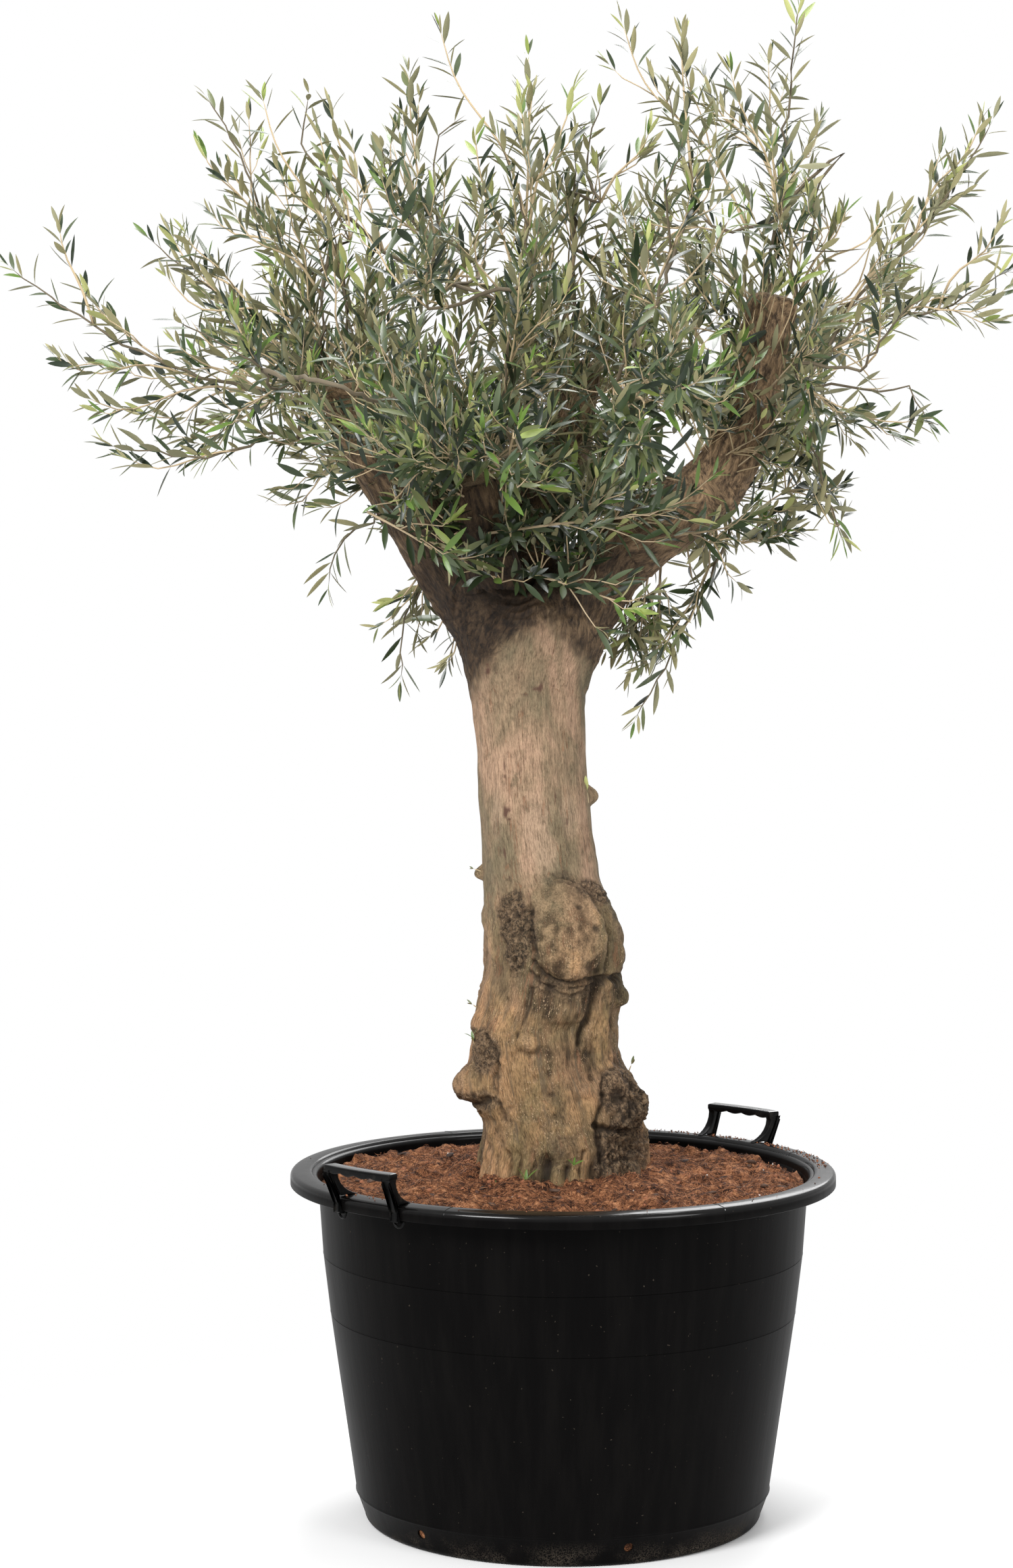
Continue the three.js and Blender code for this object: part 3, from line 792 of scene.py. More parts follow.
def scattered(name, count, size_low, size_high, flat, places, tones, seed):
    """Small broken bits: uneven blobs or flakes laid at places, each turned its own way."""
    chance = np.random.default_rng(seed)
    shape = bmesh.new()
    bmesh.ops.create_icosphere(shape, subdivisions=1, radius=0.5)
    shape.verts.ensure_lookup_table()
    template = np.array([vert.co for vert in shape.verts])
    faces = [[vert.index for vert in face.verts] for face in shape.faces]
    shape.free()
    size = chance.uniform(size_low, size_high, (count, 1, 1))
    squash = chance.uniform(0.55, 1.0, (count, 1, 3)) * np.array([1.0, 0.7, flat])
    dented = template[None] * (1 + chance.normal(0, 0.16, (count, len(template), 1)))
    dented = np.sign(dented) * np.abs(dented) ** 0.9
    turn = chance.uniform(0, math.tau, count)
    tilt = chance.normal(0, 0.25, count)
    bits = dented * squash * size
    bits[..., 2] += bits[..., 0] * np.tan(tilt)[:, None]
    x = bits[..., 0] * np.cos(turn)[:, None] - bits[..., 1] * np.sin(turn)[:, None]
    y = bits[..., 0] * np.sin(turn)[:, None] + bits[..., 1] * np.cos(turn)[:, None]
    points = np.stack([x, y, bits[..., 2]], axis=2) + places[:, None]
    deal = chance.integers(0, len(tones), count)
    piece = joined(name, points, faces, np.repeat(deal, len(faces)), tones, smooth=False)
    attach(piece, "root")


def on_bed(count, seed, sunk):
    chance = np.random.default_rng(seed)
    reach = np.sqrt(chance.uniform(0.15 ** 2, (MIX_REACH - 0.014) ** 2, count))
    bearing = chance.uniform(0, math.tau, count)
    places = np.column_stack([reach * np.cos(bearing), reach * np.sin(bearing), np.zeros(count)])
    places[:, 2] = mix_height(places) - sunk
    return places


grain_tones = [plain("perlite", (0.75, 0.73, 0.68))]
chip_tones = [
    plain("bark_chip_dark", (0.032, 0.016, 0.010)),
    plain("bark_chip_brown", (0.080, 0.044, 0.028)),
]
pith_tones = [plain("pith_rust", (0.270, 0.100, 0.044)), plain("pith_dark", (0.065, 0.025, 0.013))]
scattered("bark_chips", CHIP_COUNT, 0.012, 0.034, 0.28, on_bed(CHIP_COUNT, 3, -0.001), chip_tones, 4)
scattered("pith_crumbs", CRUMB_COUNT, 0.004, 0.014, 0.8, on_bed(CRUMB_COUNT, 5, 0.001), pith_tones, 6)
scattered("white_grains", GRAIN_COUNT, 0.003, 0.006, 0.9, on_bed(GRAIN_COUNT, 7, -0.001), grain_tones, 8)

# Crumbs spilt on the flange, thickest by the back grip and at the left.
spill = []
for degrees, spread, many in SPILLS:
    for _ in range(many):
        way = outward(degrees + luck.normal(0, spread)) * (RIM - luck.uniform(0.008, FLANGE - 0.008))
        spill.append((way.x, way.y, TOP + 0.0005))
scattered("spilt_crumbs", len(spill), 0.0015, 0.0055, 0.8, np.array(spill), pith_tones, 9)


# ---------- trunk and boughs ----------
# One old olive stem, sawn back over many years: a fluted trunk with root toes, burls and healed knobs, and
# six boughs out of its swollen fork that end in sawn stubs. Its smooth grey-tan bark is rough in the folds.
# Painted shade darkens its folds, pits and cankered hollows and the fork under the crown, and painted
# highlight lights its raised relief low on the stem.

COARSE_GRID = 0.0085
FINE_GRID = 0.0030
FUSE_GROWTH = 0.0012  # how far each solid is grown, so that neighbours overlap and fuse
TRUNK_THICKNESS = 0.105
LIMB_THICKNESS = 0.060
STEM_RADIUS = 0.118
TRUNK_SPLIT = 1.330  # the heights where the wood is parted into three meshes
FORK_SPLIT = 1.800
LIMB_NODES = sorted(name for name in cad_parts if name.startswith("bough_"))
BOSS = (14, 1.094, 0.065, 0.086)  # the great burl: degrees round, height, half width, half height
BOSS_SQUARENESS = 2.4
BULGES = [  # degrees round, height, half width, half height, how far out, how far it droops
    (10, 1.15, 0.04, 0.044, 0.006, 0), (66, 1.085, 0.024, 0.068, 0.013, 0.005),
    (70, 1.034, 0.018, 0.022, 0.007, 0.004), (80, 0.962, 0.018, 0.019, 0.008, 0.004),
    (72, 0.928, 0.026, 0.02, -0.008, 0), (-31, 1.09, 0.036, 0.06, 0.005, 0),
    (-90, 1.186, 0.01, 0.012, 0.016, 0.004), (-88, 1.108, 0.016, 0.018, 0.006, 0.002),
    (-80, 1.02, 0.03, 0.05, -0.005, 0), (-13, 0.89, 0.019, 0.018, 0.014, 0.006),
    (13, 0.947, 0.048, 0.024, 0.011, 0.004), (14, 0.905, 0.04, 0.018, -0.008, 0),
    (6, 0.868, 0.03, 0.02, 0.005, 0.003), (54, 0.9, 0.02, 0.07, 0.006, 0),
    (28, 0.802, 0.022, 0.014, 0.009, 0.005), (8, 0.82, 0.02, 0.06, 0.004, 0),
    (-74, 0.914, 0.028, 0.018, 0.01, 0.006), (-56, 0.866, 0.034, 0.038, 0.006, 0.002),
    (-80, 0.802, 0.034, 0.03, 0.018, 0.004), (-62, 0.806, 0.026, 0.026, 0.008, 0.002),
    (-58, 0.762, 0.018, 0.018, 0.007, 0.002), (-88, 0.73, 0.04, 0.03, -0.006, 0),
    (58, 0.812, 0.032, 0.024, 0.012, 0.002), (76, 0.766, 0.03, 0.032, 0.011, 0.008),
    (52, 0.756, 0.032, 0.024, 0.008, 0.006), (62, 0.69, 0.062, 0.034, -0.012, 0),
    (84, 0.7, 0.06, 0.05, -0.01, 0), (-41, 0.702, 0.013, 0.013, 0.008, 0.002),
    (-8, 0.7, 0.026, 0.02, 0.008, 0.004), (150, 0.9, 0.05, 0.06, 0.012, 0.01),
    (190, 1.12, 0.036, 0.05, 0.012, 0.006), (-130, 0.98, 0.044, 0.052, 0.012, 0.01),
    (120, 0.72, 0.044, 0.04, 0.014, 0.008), (-150, 0.74, 0.046, 0.04, 0.014, 0.008),
    (88, 1.328, 0.013, 0.016, 0.018, 0.004), (2, 1.655, 0.05, 0.026, 0.01, 0.006),
]
FOLDS = [  # a crease's points as degrees round and height, its width and its depth
    ([(-17, 1.034), (-10, 1.012), (2, 1.001), (16, 0.997), (30, 1.002), (38, 1.006)], 0.0042, 0.008),
    ([(-12, 1.006), (4, 0.99), (16, 0.984), (28, 0.99)], 0.003, 0.004),
    ([(-19, 1.014), (-10, 0.995), (6, 0.978), (15, 0.971), (26, 0.978), (34, 0.99)], 0.0036, 0.0052),
    ([(46, 1.12), (49, 1.08), (48, 1.04), (45, 1.012)], 0.0046, 0.008),
    ([(42, 1.004), (56, 1.001), (70, 0.997), (84, 1.004)], 0.007, 0.012),
    ([(60, 0.985), (62, 0.94), (60, 0.9), (57, 0.85)], 0.004, 0.004),
    ([(8, 1.19), (24, 1.18), (40, 1.167), (56, 1.15), (68, 1.14)], 0.0034, 0.0042),
    ([(14, 1.176), (30, 1.164), (46, 1.15), (60, 1.132)], 0.003, 0.0032),
    ([(-16, 1.15), (-17, 1.11), (-16, 1.07), (-14, 1.045)], 0.005, 0.006),
    ([(-46, 1.14), (-50, 1.1), (-46, 1.06), (-34, 1.03)], 0.0036, 0.004),
    ([(-18, 0.984), (-19, 0.932), (-23, 0.89), (-20, 0.872), (-14, 0.862)], 0.0036, 0.0064),
    ([(40, 1), (40, 0.97), (38, 0.94), (34, 0.91), (31, 0.884)], 0.0066, 0.013),
    ([(42, 0.89), (43, 0.86), (42, 0.82)], 0.006, 0.0045),
    ([(-76, 0.902), (-62, 0.904), (-50, 0.896), (-42, 0.872), (-41, 0.846)], 0.004, 0.0056),
    ([(-41, 0.846), (-48, 0.818), (-47, 0.78), (-45, 0.744)], 0.0044, 0.006),
    ([(-92, 0.768), (-78, 0.763), (-66, 0.766), (-56, 0.778)], 0.0066, 0.007),
    ([(47, 0.828), (42, 0.8), (40, 0.776), (33, 0.756), (27, 0.738)], 0.0056, 0.01),
    ([(28, 0.738), (38, 0.728), (52, 0.722), (66, 0.718), (82, 0.724)], 0.0064, 0.009),
    ([(30, 0.728), (28, 0.69), (30, 0.655), (32, 0.63)], 0.006, 0.009),
    ([(-44, 0.69), (-40, 0.668), (-41, 0.64)], 0.0036, 0.006),
    ([(-34, 0.694), (-33, 0.665), (-34, 0.64)], 0.0034, 0.005),
    ([(-24, 0.69), (-22, 0.665), (-23, 0.64)], 0.0034, 0.006),
    ([(12, 0.69), (11, 0.66), (12, 0.64)], 0.004, 0.006),
    ([(-48, 1.706), (-34, 1.682), (-18, 1.676), (-2, 1.69)], 0.0044, 0.008),
    ([(-44, 1.688), (-30, 1.668), (-14, 1.664), (2, 1.678)], 0.0036, 0.0056),
    ([(-40, 1.672), (-26, 1.655), (-10, 1.652), (8, 1.668)], 0.0034, 0.0044),
    ([(-30, 1.656), (-16, 1.642), (2, 1.644), (14, 1.66)], 0.003, 0.003),
]
PITS = [  # sunken holes and cavities: degrees round, height, half width, half height, depth
    (-14, 0.668, 0.01, 0.02, 0.01), (2, 0.66, 0.006, 0.014, 0.006), (52, 0.786, 0.011, 0.014, 0.011),
    (60, 0.772, 0.007, 0.009, 0.008), (66, 0.8, 0.006, 0.006, 0.006), (44, 0.996, 0.014, 0.01, 0.009),
    (24, 1.128, 0.006, 0.005, 0.005), (34, 1.092, 0.006, 0.007, 0.005), (46, 1.06, 0.005, 0.005, 0.004),
    (-22, 1.716, 0.03, 0.026, 0.03),
]
SCARS = [  # small dark flakes where old twigs fell: degrees round, height, half width, half height
    (-31, 1.302, 0.006, 0.016), (-30, 1.383, 0.003, 0.012), (-30, 1.365, 0.002, 0.004),
    (-39, 1.557, 0.007, 0.008), (8, 1.523, 0.016, 0.006), (-36, 1.228, 0.004, 0.02), (24, 1.33, 0.002, 0.01),
    (34, 1.28, 0.003, 0.008), (118, 1.4, 0.007, 0.012), (-120, 1.3, 0.006, 0.016), (170, 1.25, 0.008, 0.012),
]
TINTS = [  # patches on smooth bark: degrees round, height, half width, half height, olive (rosy below 0)
    (-36, 1.19, 0.034, 0.085, 1), (-52, 1.01, 0.03, 0.09, 0.8), (-22, 0.79, 0.026, 0.09, 0.45),
    (8, 0.74, 0.04, 0.06, 0.3), (20, 1.278, 0.016, 0.026, 0.9), (34, 1.215, 0.03, 0.03, 0.7),
    (4, 1.265, 0.036, 0.075, -1), (-42, 1.29, 0.018, 0.06, -0.8), (38, 1.29, 0.024, 0.04, -0.8),
    (12, 0.95, 0.04, 0.05, -0.3),
]
TOES = [  # roots that spread from the foot: degrees round, half width in degrees, how far out, their top
    (-66, 8, 0.012, 0.73), (-47, 4, 0.008, 0.69), (-38, 3, 0.008, 0.69), (-29, 4, 0.012, 0.7),
    (-14, 5, -0.014, 0.69), (-6, 4, 0.016, 0.7), (2, 2, -0.008, 0.68), (8, 4, 0.012, 0.69),
    (24, 6, -0.014, 0.73), (45, 7, 0.01, 0.7), (62, 5, 0.006, 0.69), (84, 8, 0.008, 0.7),
    (100, 8, 0.014, 0.72), (124, 7, 0.016, 0.74), (150, 9, 0.012, 0.7), (178, 8, 0.018, 0.74),
    (-156, 8, 0.012, 0.7), (-132, 9, 0.018, 0.74), (-106, 6, 0.012, 0.7), (-84, 5, 0.008, 0.7),
]
KNOB_LUMPS = [  # bumps and hollows of the burl on top of the front knob: place, size, how far out
    ((-0.15, -0.13, 1.89), 0.026, 0.014), ((-0.108, -0.12, 1.868), 0.02, 0.014),
    ((-0.128, -0.14, 1.868), 0.01, -0.01), ((-0.176, -0.12, 1.88), 0.016, 0.008),
    ((-0.14, -0.14, 1.83), 0.024, 0.008),
]
ROUGHS = [  # cankered bark: degrees round, height, half width, half height, how rough
    (-33, 1.092, 0.03, 0.056, 0.0085), (18, 1.182, 0.036, 0.013, 0.003), (48, 1.157, 0.04, 0.018, 0.0042),
    (62, 1.11, 0.02, 0.04, 0.002), (8, 0.99, 0.066, 0.018, 0.0032), (-58, 0.868, 0.032, 0.036, 0.0052),
    (-66, 0.778, 0.036, 0.02, 0.004), (58, 0.79, 0.036, 0.04, 0.0052), (72, 0.75, 0.04, 0.034, 0.0046),
    (50, 0.7, 0.05, 0.034, 0.005), (74, 0.69, 0.046, 0.04, 0.0048), (40, 0.66, 0.03, 0.022, 0.0034),
    (-2, 0.69, 0.022, 0.03, 0.003), (-130, 0.96, 0.05, 0.05, 0.005), (160, 0.86, 0.05, 0.05, 0.005),
]


def copied(node):
    """A CAD node's mesh as a shape that can be worked on, its loose triangles joined."""
    shape = bmesh.new()
    shape.from_mesh(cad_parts[node].data)
    bmesh.ops.remove_doubles(shape, verts=shape.verts, dist=1e-5)
    return shape


def middle_line(points, toward, steps):
    """The centreline of a long solid: the middles of slices across it, the first one nearest to a place."""
    centre = points.mean(0)
    axis = np.linalg.svd(points - centre, full_matrices=False)[2][0]
    if np.dot(centre - toward, axis) < 0:
        axis = -axis
    share = (points - centre) @ axis
    cuts = np.linspace(share.min(), share.max(), steps + 1)
    line = [points[share <= cuts[0] + 1e-3].mean(0)]
    for low, high in zip(cuts[:-1], cuts[1:]):
        inside = (share >= low - 1e-4) & (share <= high + 1e-4)
        if inside.sum() >= 3:
            line.append(points[inside].mean(0))
    line.append(points[share >= cuts[-1] - 1e-3].mean(0))
    return np.array(line)


wood_shape = bmesh.new()
limb_lines = {}
fork = np.array([-0.05, 0.0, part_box("trunk")[1].z])
for node in ["trunk", *LIMB_NODES]:
    shape = copied(node)
    shape.normal_update()
    for vert in shape.verts:
        vert.co += vert.normal * FUSE_GROWTH
    points = np.array([vert.co for vert in shape.verts])
    if node != "trunk":
        limb_lines[node] = middle_line(points, fork - [0, 0, 0.15], 5)
    part = bpy.data.meshes.new(node + "_copy")
    shape.to_mesh(part)
    shape.free()
    wood_shape.from_mesh(part)
    bpy.data.meshes.remove(part)
trunk_heights = np.linspace(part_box("trunk")[0].z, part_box("trunk")[1].z - 0.03, 16)
trunk_line = []
trunk_corners = np.array([vert.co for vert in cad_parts["trunk"].data.vertices])
for height in trunk_heights:
    near = trunk_corners[np.abs(trunk_corners[:, 2] - height) < 0.035]
    trunk_line.append([*(near[:, :2].min(0) + near[:, :2].max(0)) / 2, height])
trunk_line = np.array(trunk_line)
trunk_line[:, 1] *= 0.5
limb_lines["trunk"] = trunk_line

wood_mesh = bpy.data.meshes.new("wood")
wood_shape.to_mesh(wood_mesh)
wood_shape.free()
wood = shown("wood", wood_mesh)
for size, passes in ((COARSE_GRID, 10), (FINE_GRID, 4)):
    grid = wood.modifiers.new("grid", "REMESH")
    grid.mode = "VOXEL"
    grid.voxel_size = size
    soft = wood.modifiers.new("soft", "SMOOTH")
    soft.factor = 0.5
    soft.iterations = passes
settle(wood)


def nearest_on(line, points):
    """For each point its distance to a line, how far along that is, and the line's place and way there."""
    best = np.full(len(points), 1e9)
    along = np.zeros(len(points))
    foot = np.zeros((len(points), 3))
    way = np.zeros((len(points), 3))
    run = 0.0
    for start, end in zip(line[:-1], line[1:]):
        step = end - start
        length = np.linalg.norm(step)
        share = np.clip((points - start) @ step / length ** 2, 0, 1)
        spot = start + share[:, None] * step
        gap = np.linalg.norm(points - spot, axis=1)
        nearer = gap < best
        best[nearer] = gap[nearer]
        along[nearer] = run + share[nearer] * length
        foot[nearer] = spot[nearer]
        way[nearer] = step / length
        run += length
    return best, along, foot, way


# Each corner of the bark belongs to the limb whose middle is nearest for its thickness, and gets its place
# along the grain of that limb: across it twice, and along it.
skin = rows_of(wood.data.vertices, "co")
owner = np.zeros(len(skin))
least = np.full(len(skin), 1e9)
next_least = np.full(len(skin), 1e9)
grain_place = np.zeros((len(skin), 3))
for number, (node, line) in enumerate(limb_lines.items()):
    gap, along, foot, way = nearest_on(line, skin)
    share = gap / (TRUNK_THICKNESS if node == "trunk" else LIMB_THICKNESS)
    nearer = share < least
    next_least = np.where(nearer, least, np.minimum(next_least, share))
    least[nearer] = share[nearer]
    owner[nearer] = number
    right = np.cross(way, [0.0, 1.0, 0.0])
    right /= np.linalg.norm(right, axis=1, keepdims=True)
    deep = np.cross(right, way)
    offset = skin - foot
    across = np.stack([(offset * right).sum(1), (offset * deep).sum(1), along + 0.37 * number], axis=1)
    grain_place[nearer] = across[nearer]
on_trunk = owner == list(limb_lines).index("trunk")
steady = np.clip((next_least - least) / 0.22, 0, 1)  # the grain changes its way where this is 0

centre_x = np.interp(skin[:, 2], trunk_line[:, 2], trunk_line[:, 0])
centre_y = np.interp(skin[:, 2], trunk_line[:, 2], trunk_line[:, 1])
bearing = np.degrees(np.arctan2(skin[:, 0] - centre_x, -(skin[:, 1] - centre_y)))
skin_up = skin[:, 2]
grain_place[on_trunk] = (skin - np.column_stack([centre_x, centre_y, 0 * centre_x]))[on_trunk]


def degrees_from(degrees):
    """How far each corner of the bark is round the stem from a bearing."""
    return (bearing - degrees + 180) % 360 - 180


def round_from(degrees):
    """The same in metres."""
    return np.radians(degrees_from(degrees)) * STEM_RADIUS


def gap_from(degrees, height, half_width, half_height):
    """How far each corner is from a place on the stem: 1 on the edge of an ellipse round it."""
    return np.hypot(round_from(degrees) / half_width, (skin_up - height) / half_height)


def falling_from(place, reach):
    """1 at a height on the stem, and 0 from a distance above and below it on."""
    return np.clip(1 - np.abs(skin_up - place) / reach, 0, 1)


def ridges(points, size, seed):
    """Sharp ridges at 1 with rounded dips to -1 between them."""
    return 1 - 2 * np.abs(lumps(points, size, seed))


def mound(degrees, height, half_width, half_height):
    """1 at a place on the stem, falling smoothly to 0 at an ellipse round it."""
    return np.clip(1 - gap_from(degrees, height, half_width, half_height) ** 2 / 2.2, 0, 1) ** 2


def from_crease(points):
    """Distance over the bark from a crease."""
    flat = np.column_stack([round_from(0), skin_up, np.zeros(len(skin))])
    line = np.array([(math.radians(degrees) * STEM_RADIUS, height, 0.0) for degrees, height in points])
    return nearest_on(line, flat)[0]


low_stem = on_trunk | (skin_up < 1.70)
swell, droop, dark, pale, canker, tint, scar, sawn = np.zeros((8, len(skin)))
for degrees, height, half_width, half_height, out, sag in BULGES:
    here = mound(degrees, height, half_width, half_height) * low_stem
    swell += out * here
    droop += sag * here * np.clip(0.6 - (skin_up - height) / half_height, 0, 1.5)
    pale += np.clip(here * 1.4 - 0.4, 0, 1) * (out > 0.0125)
wander = 0.005 * lumps(skin, 0.03, 21) + 0.0022 * lumps(skin, 0.009, 22)
for points, width, depth in FOLDS:
    gap = np.abs(from_crease(points) + wander)
    width *= 0.78
    lip = 0.22 * np.exp(-(((gap - 2.4 * width) / width) ** 2))
    swell += depth * (lip - np.exp(-((gap / width) ** 2))) * low_stem
    # Painted shade along the floor of each crease, more where the crease is deeper.
    dark += np.exp(-((gap / width) ** 2)) * low_stem * min(1.0, depth / 0.0075)
for *place, depth in PITS:
    here = mound(*place) * low_stem
    swell -= depth * here
    # Painted shade in each pit.
    dark += here * 1.2

# The great burl stands out from the stem with a steep edge of its own, and is lumpy all over.
degrees, height, half_width, half_height = BOSS
across, upward = np.abs(round_from(degrees) / half_width), np.abs((skin_up - height) / half_height)
boss_away = (across ** BOSS_SQUARENESS + upward ** BOSS_SQUARENESS) ** (1 / BOSS_SQUARENESS)
boss = np.clip((1.10 + 0.10 * lumps(skin, 0.028, 57) - boss_away) / 0.30, 0, 1) * low_stem
boss = boss * boss * (3 - 2 * boss)
swell += boss * (0.0110 + 0.0030 * lumps(skin, 0.024, 58) + 0.0016 * lumps(skin, 0.010, 59))
droop += 0.012 * boss * np.clip((height - skin_up) / half_height, 0, 1)
pale += 0.8 * boss


def nodules(points, size, seed):
    """How far each point is from the middle of its knob, in knob sizes: 0 on top, near 1 between knobs."""
    bent = np.column_stack([lumps(points, 0.8 * size, seed + 10 + axis) for axis in range(3)])
    scaled = points / size + 0.45 * bent + 1000.0
    cell = np.floor(scaled).astype(np.int64)
    nearest = np.full(len(points), 9.0)
    for step in np.ndindex(3, 3, 3):
        other = cell + np.array(step) - 1
        middle = other + np.stack([hashed(other, seed + axis) for axis in range(3)], axis=1)
        nearest = np.minimum(nearest, np.linalg.norm(scaled - middle, axis=1))
    return nearest


for degrees, height, half_width, half_height, rough in ROUGHS:
    here = mound(degrees, height, half_width * 1.15, half_height * 1.15) * low_stem
    inside = here > 0.01
    hollow = nodules(skin[inside], 0.0125, 31)
    fine_hollow = nodules(skin[inside], 0.0072, 35)
    ragged = np.clip(here[inside] * 2.2 + 0.6 * lumps(skin[inside], 0.020, 33), 0, 1)
    crag = ridges(skin[inside], 0.0085, 36)
    swell[inside] += rough * ragged * (0.7 - 1.3 * hollow - 0.4 * fine_hollow + 0.5 * crag)
    canker[inside] += ragged * min(1, rough / 0.0075)
    # Painted shade in the hollows between the canker's knobs.
    in_hollow = np.clip((hollow - 0.2 * crag - 0.52) / 0.30, 0, 1)
    dark[inside] += ragged * in_hollow * min(1, rough / 0.0050) * 0.9

uneven = 0.5 * lumps(skin * [1, 1, 0.5], 0.022, 60)
for *place, olive in TINTS:
    tint += olive * np.clip(mound(*place) * 2.2 + uneven - 0.3, 0, 1)

# Flutes and flecks of relief that follow the grain, and wrinkles round the fork.
flute = grain_place * [1, 1, 0.16]
relief = 0.0034 * lumps(flute, 0.052, 41) + 0.0016 * lumps(grain_place * [1, 1, 0.3], 0.020, 42)
relief += 0.0009 * lumps(grain_place * [1, 1, 0.22], 0.0085, 43)
relief += np.where(on_trunk, 0, 1) * 0.0016 * ridges(grain_place * [1, 1, 0.35], 0.0125, 47)
relief = relief * steady + 0.0013 * lumps(skin, 0.028, 44)
low_rough = np.clip((1.18 - skin_up) / 0.12, 0, 1)
relief -= low_rough * 0.0055 * np.clip(lumps(skin, 0.013, 56) - 0.42, 0, 1)
small_lumps = 0.0021 * lumps(skin * [1, 1, 0.7], 0.0125, 53)
relief += low_rough * (small_lumps + 0.0013 * ridges(skin * [1, 1, 0.6], 0.0085, 54))
relief += low_rough * 0.0034 * lumps(grain_place * [1, 1, 0.12], 0.024, 61)
gnarl = falling_from(0.90, 0.33) + 0.8 * falling_from(1.72, 0.25)
relief += gnarl * (0.0045 * lumps(skin, 0.060, 45) + 0.0022 * lumps(skin, 0.024, 46))
fork_bend = falling_from(1.66, 0.12)
wrinkles = np.sin(skin_up / 0.0040 + 4 * lumps(skin, 0.05, 48))
relief += fork_bend * 0.0013 * wrinkles * np.clip(0.5 + lumps(skin, 0.04, 62), 0, 1)
relief += fork_bend * 0.0016 * ridges(skin * [1, 1, 0.6], 0.012, 63)

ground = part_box("trunk")[0].z
for degrees, spread, out, top in TOES:
    rise = np.clip((top - skin_up) / (top - ground), 0, 1.3)
    relief += out * np.exp(-((degrees_from(degrees) / spread) ** 2)) * rise ** 1.4

normal = rows_of(wood.data.vertices, "normal")
moved = skin + normal * (swell + relief)[:, None]
moved[:, 2] -= droop
# The foot spreads as it goes down into the mix.
sink = np.clip((ground + 0.036 - skin_up) / 0.036, 0, 1)
moved[:, 2] -= 0.024 * sink
moved[:, :2] += normal[:, :2] * (0.008 * sink ** 1.5 * (1 + lumps(skin, 0.05, 55)))[:, None]
for place, size, out in KNOB_LUMPS:
    near = np.linalg.norm(skin - place, axis=1) / size
    moved += normal * (out * np.exp(-(near ** 2)))[:, None]
set_coords(wood.data, moved)


def attribute(mesh, name, values):
    kind = "FLOAT_VECTOR" if values.ndim == 2 else "FLOAT"
    made = mesh.attributes.new(name, kind, "POINT")
    made.data.foreach_set("vector" if values.ndim == 2 else "value", values.astype(np.float32).ravel())


# How far the bark's relief stands up or sinks, which places its painted shade and painted highlight.
raised = relief + boss * (0.0040 * lumps(skin, 0.024, 58) + 0.0025 * lumps(skin, 0.010, 59))
aside = skin[:, 0] + 0.045
arch = skin_up - (1.645 - 9 * aside ** 2) + 0.020 * lumps(skin, 0.03, 49) + 0.010 * lumps(skin, 0.012, 64)
over_arch = np.clip(0.5 + arch / 0.05, 0, 1)
# Painted shade over the fork under the crown, more on its left, and a softer painted shade just below the
# arch where the boughs part.
fork_gap = np.linalg.norm(skin - [-0.09, -0.05, 1.70], axis=1)
shade = 1.18 - fork_gap / 0.40 + 0.15 * (skin[:, 0] < -0.12) + 0.25 * lumps(skin, 0.04, 51)
ragged = 1 + 0.9 * lumps(skin, 0.008, 52)
for place in SCARS:
    scar += np.clip(1.6 - 1.6 * gap_from(*place) * ragged, 0, 1)
for node in LIMB_NODES:
    line = limb_lines[node]
    end_way = (line[-1] - line[-3]) / np.linalg.norm(line[-1] - line[-3])
    close = np.linalg.norm(skin - line[-1], axis=1) < 0.085
    sawn += np.clip((normal @ end_way - 0.80) / 0.12, 0, 1) * close
attribute(wood.data, "grain", grain_place)
for name, values in {
    "steady": steady,
    "dark": dark,
    "raised": 0.5 + raised / 0.014,
    "pale": pale,
    "olive": tint * low_stem,
    "rosy": -tint * low_stem,
    "canker": canker,
    "bough": over_arch,
    "foot": (1.24 - skin_up + 0.08 * lumps(skin, 0.07, 50)) / 0.24,
    # painted shade over the fork
    "fork": np.clip(shade, 0, 1) * (over_arch * 0.75 + 0.25 * np.clip(1 + arch / 0.09, 0, 1)),
    "scar": scar * low_stem,
    "sawn": sawn,
}.items():
    attribute(wood.data, name, np.clip(values, 0, 1))

bark = Finish("olive_bark", Specular_IOR_Level=0.3)


def along_grain(share, *settings):
    """Noise drawn out along the grain, its width this share of its length."""
    return bark.noise(bark.stretched(bark.read("grain", "Vector"), (1, 1, share)), *settings)


skin_place = bark.place()
stipple = along_grain(0.22, 460, 5, 0.75)
flecks = along_grain(0.45, 560, 3, 0.65)
stripes = along_grain(0.05, 85, 4, 0.6)
blotches = bark.noise(bark.place((1, 1, 0.5)), 8.5, 5, 0.55, 0.6)
stains = bark.noise(skin_place, 21, 5, 0.65, 0.4)
crackled = along_grain(0.3, 120, 5, 0.75, 0.5)
mottles = along_grain(0.4, 95, 5, 0.7)
fibres = along_grain(0.06, 520, 4, 0.7)
cracks = along_grain(0.06, 34, 3, 0.6, 0.3)
crack_lines = bark.node("ShaderNodeMath", {"operation": "ABSOLUTE"}, {0: cracks - 0.5})
in_cracks = (1 - crack_lines.between(0.003, 0.016)) * stains.between(0.46, 0.58)
foot = bark.read("foot")
steady_part = bark.read("steady")
tan_bark = bark.ramp(
    blotches,
    (0.36, (0.165, 0.136, 0.082)),
    (0.45, (0.225, 0.172, 0.105)),
    (0.53, (0.325, 0.222, 0.140)),
    (0.62, (0.450, 0.288, 0.192)),
)
tan_bark = bark.blend(bark.read("olive") * 0.75, tan_bark, (0.200, 0.155, 0.092))
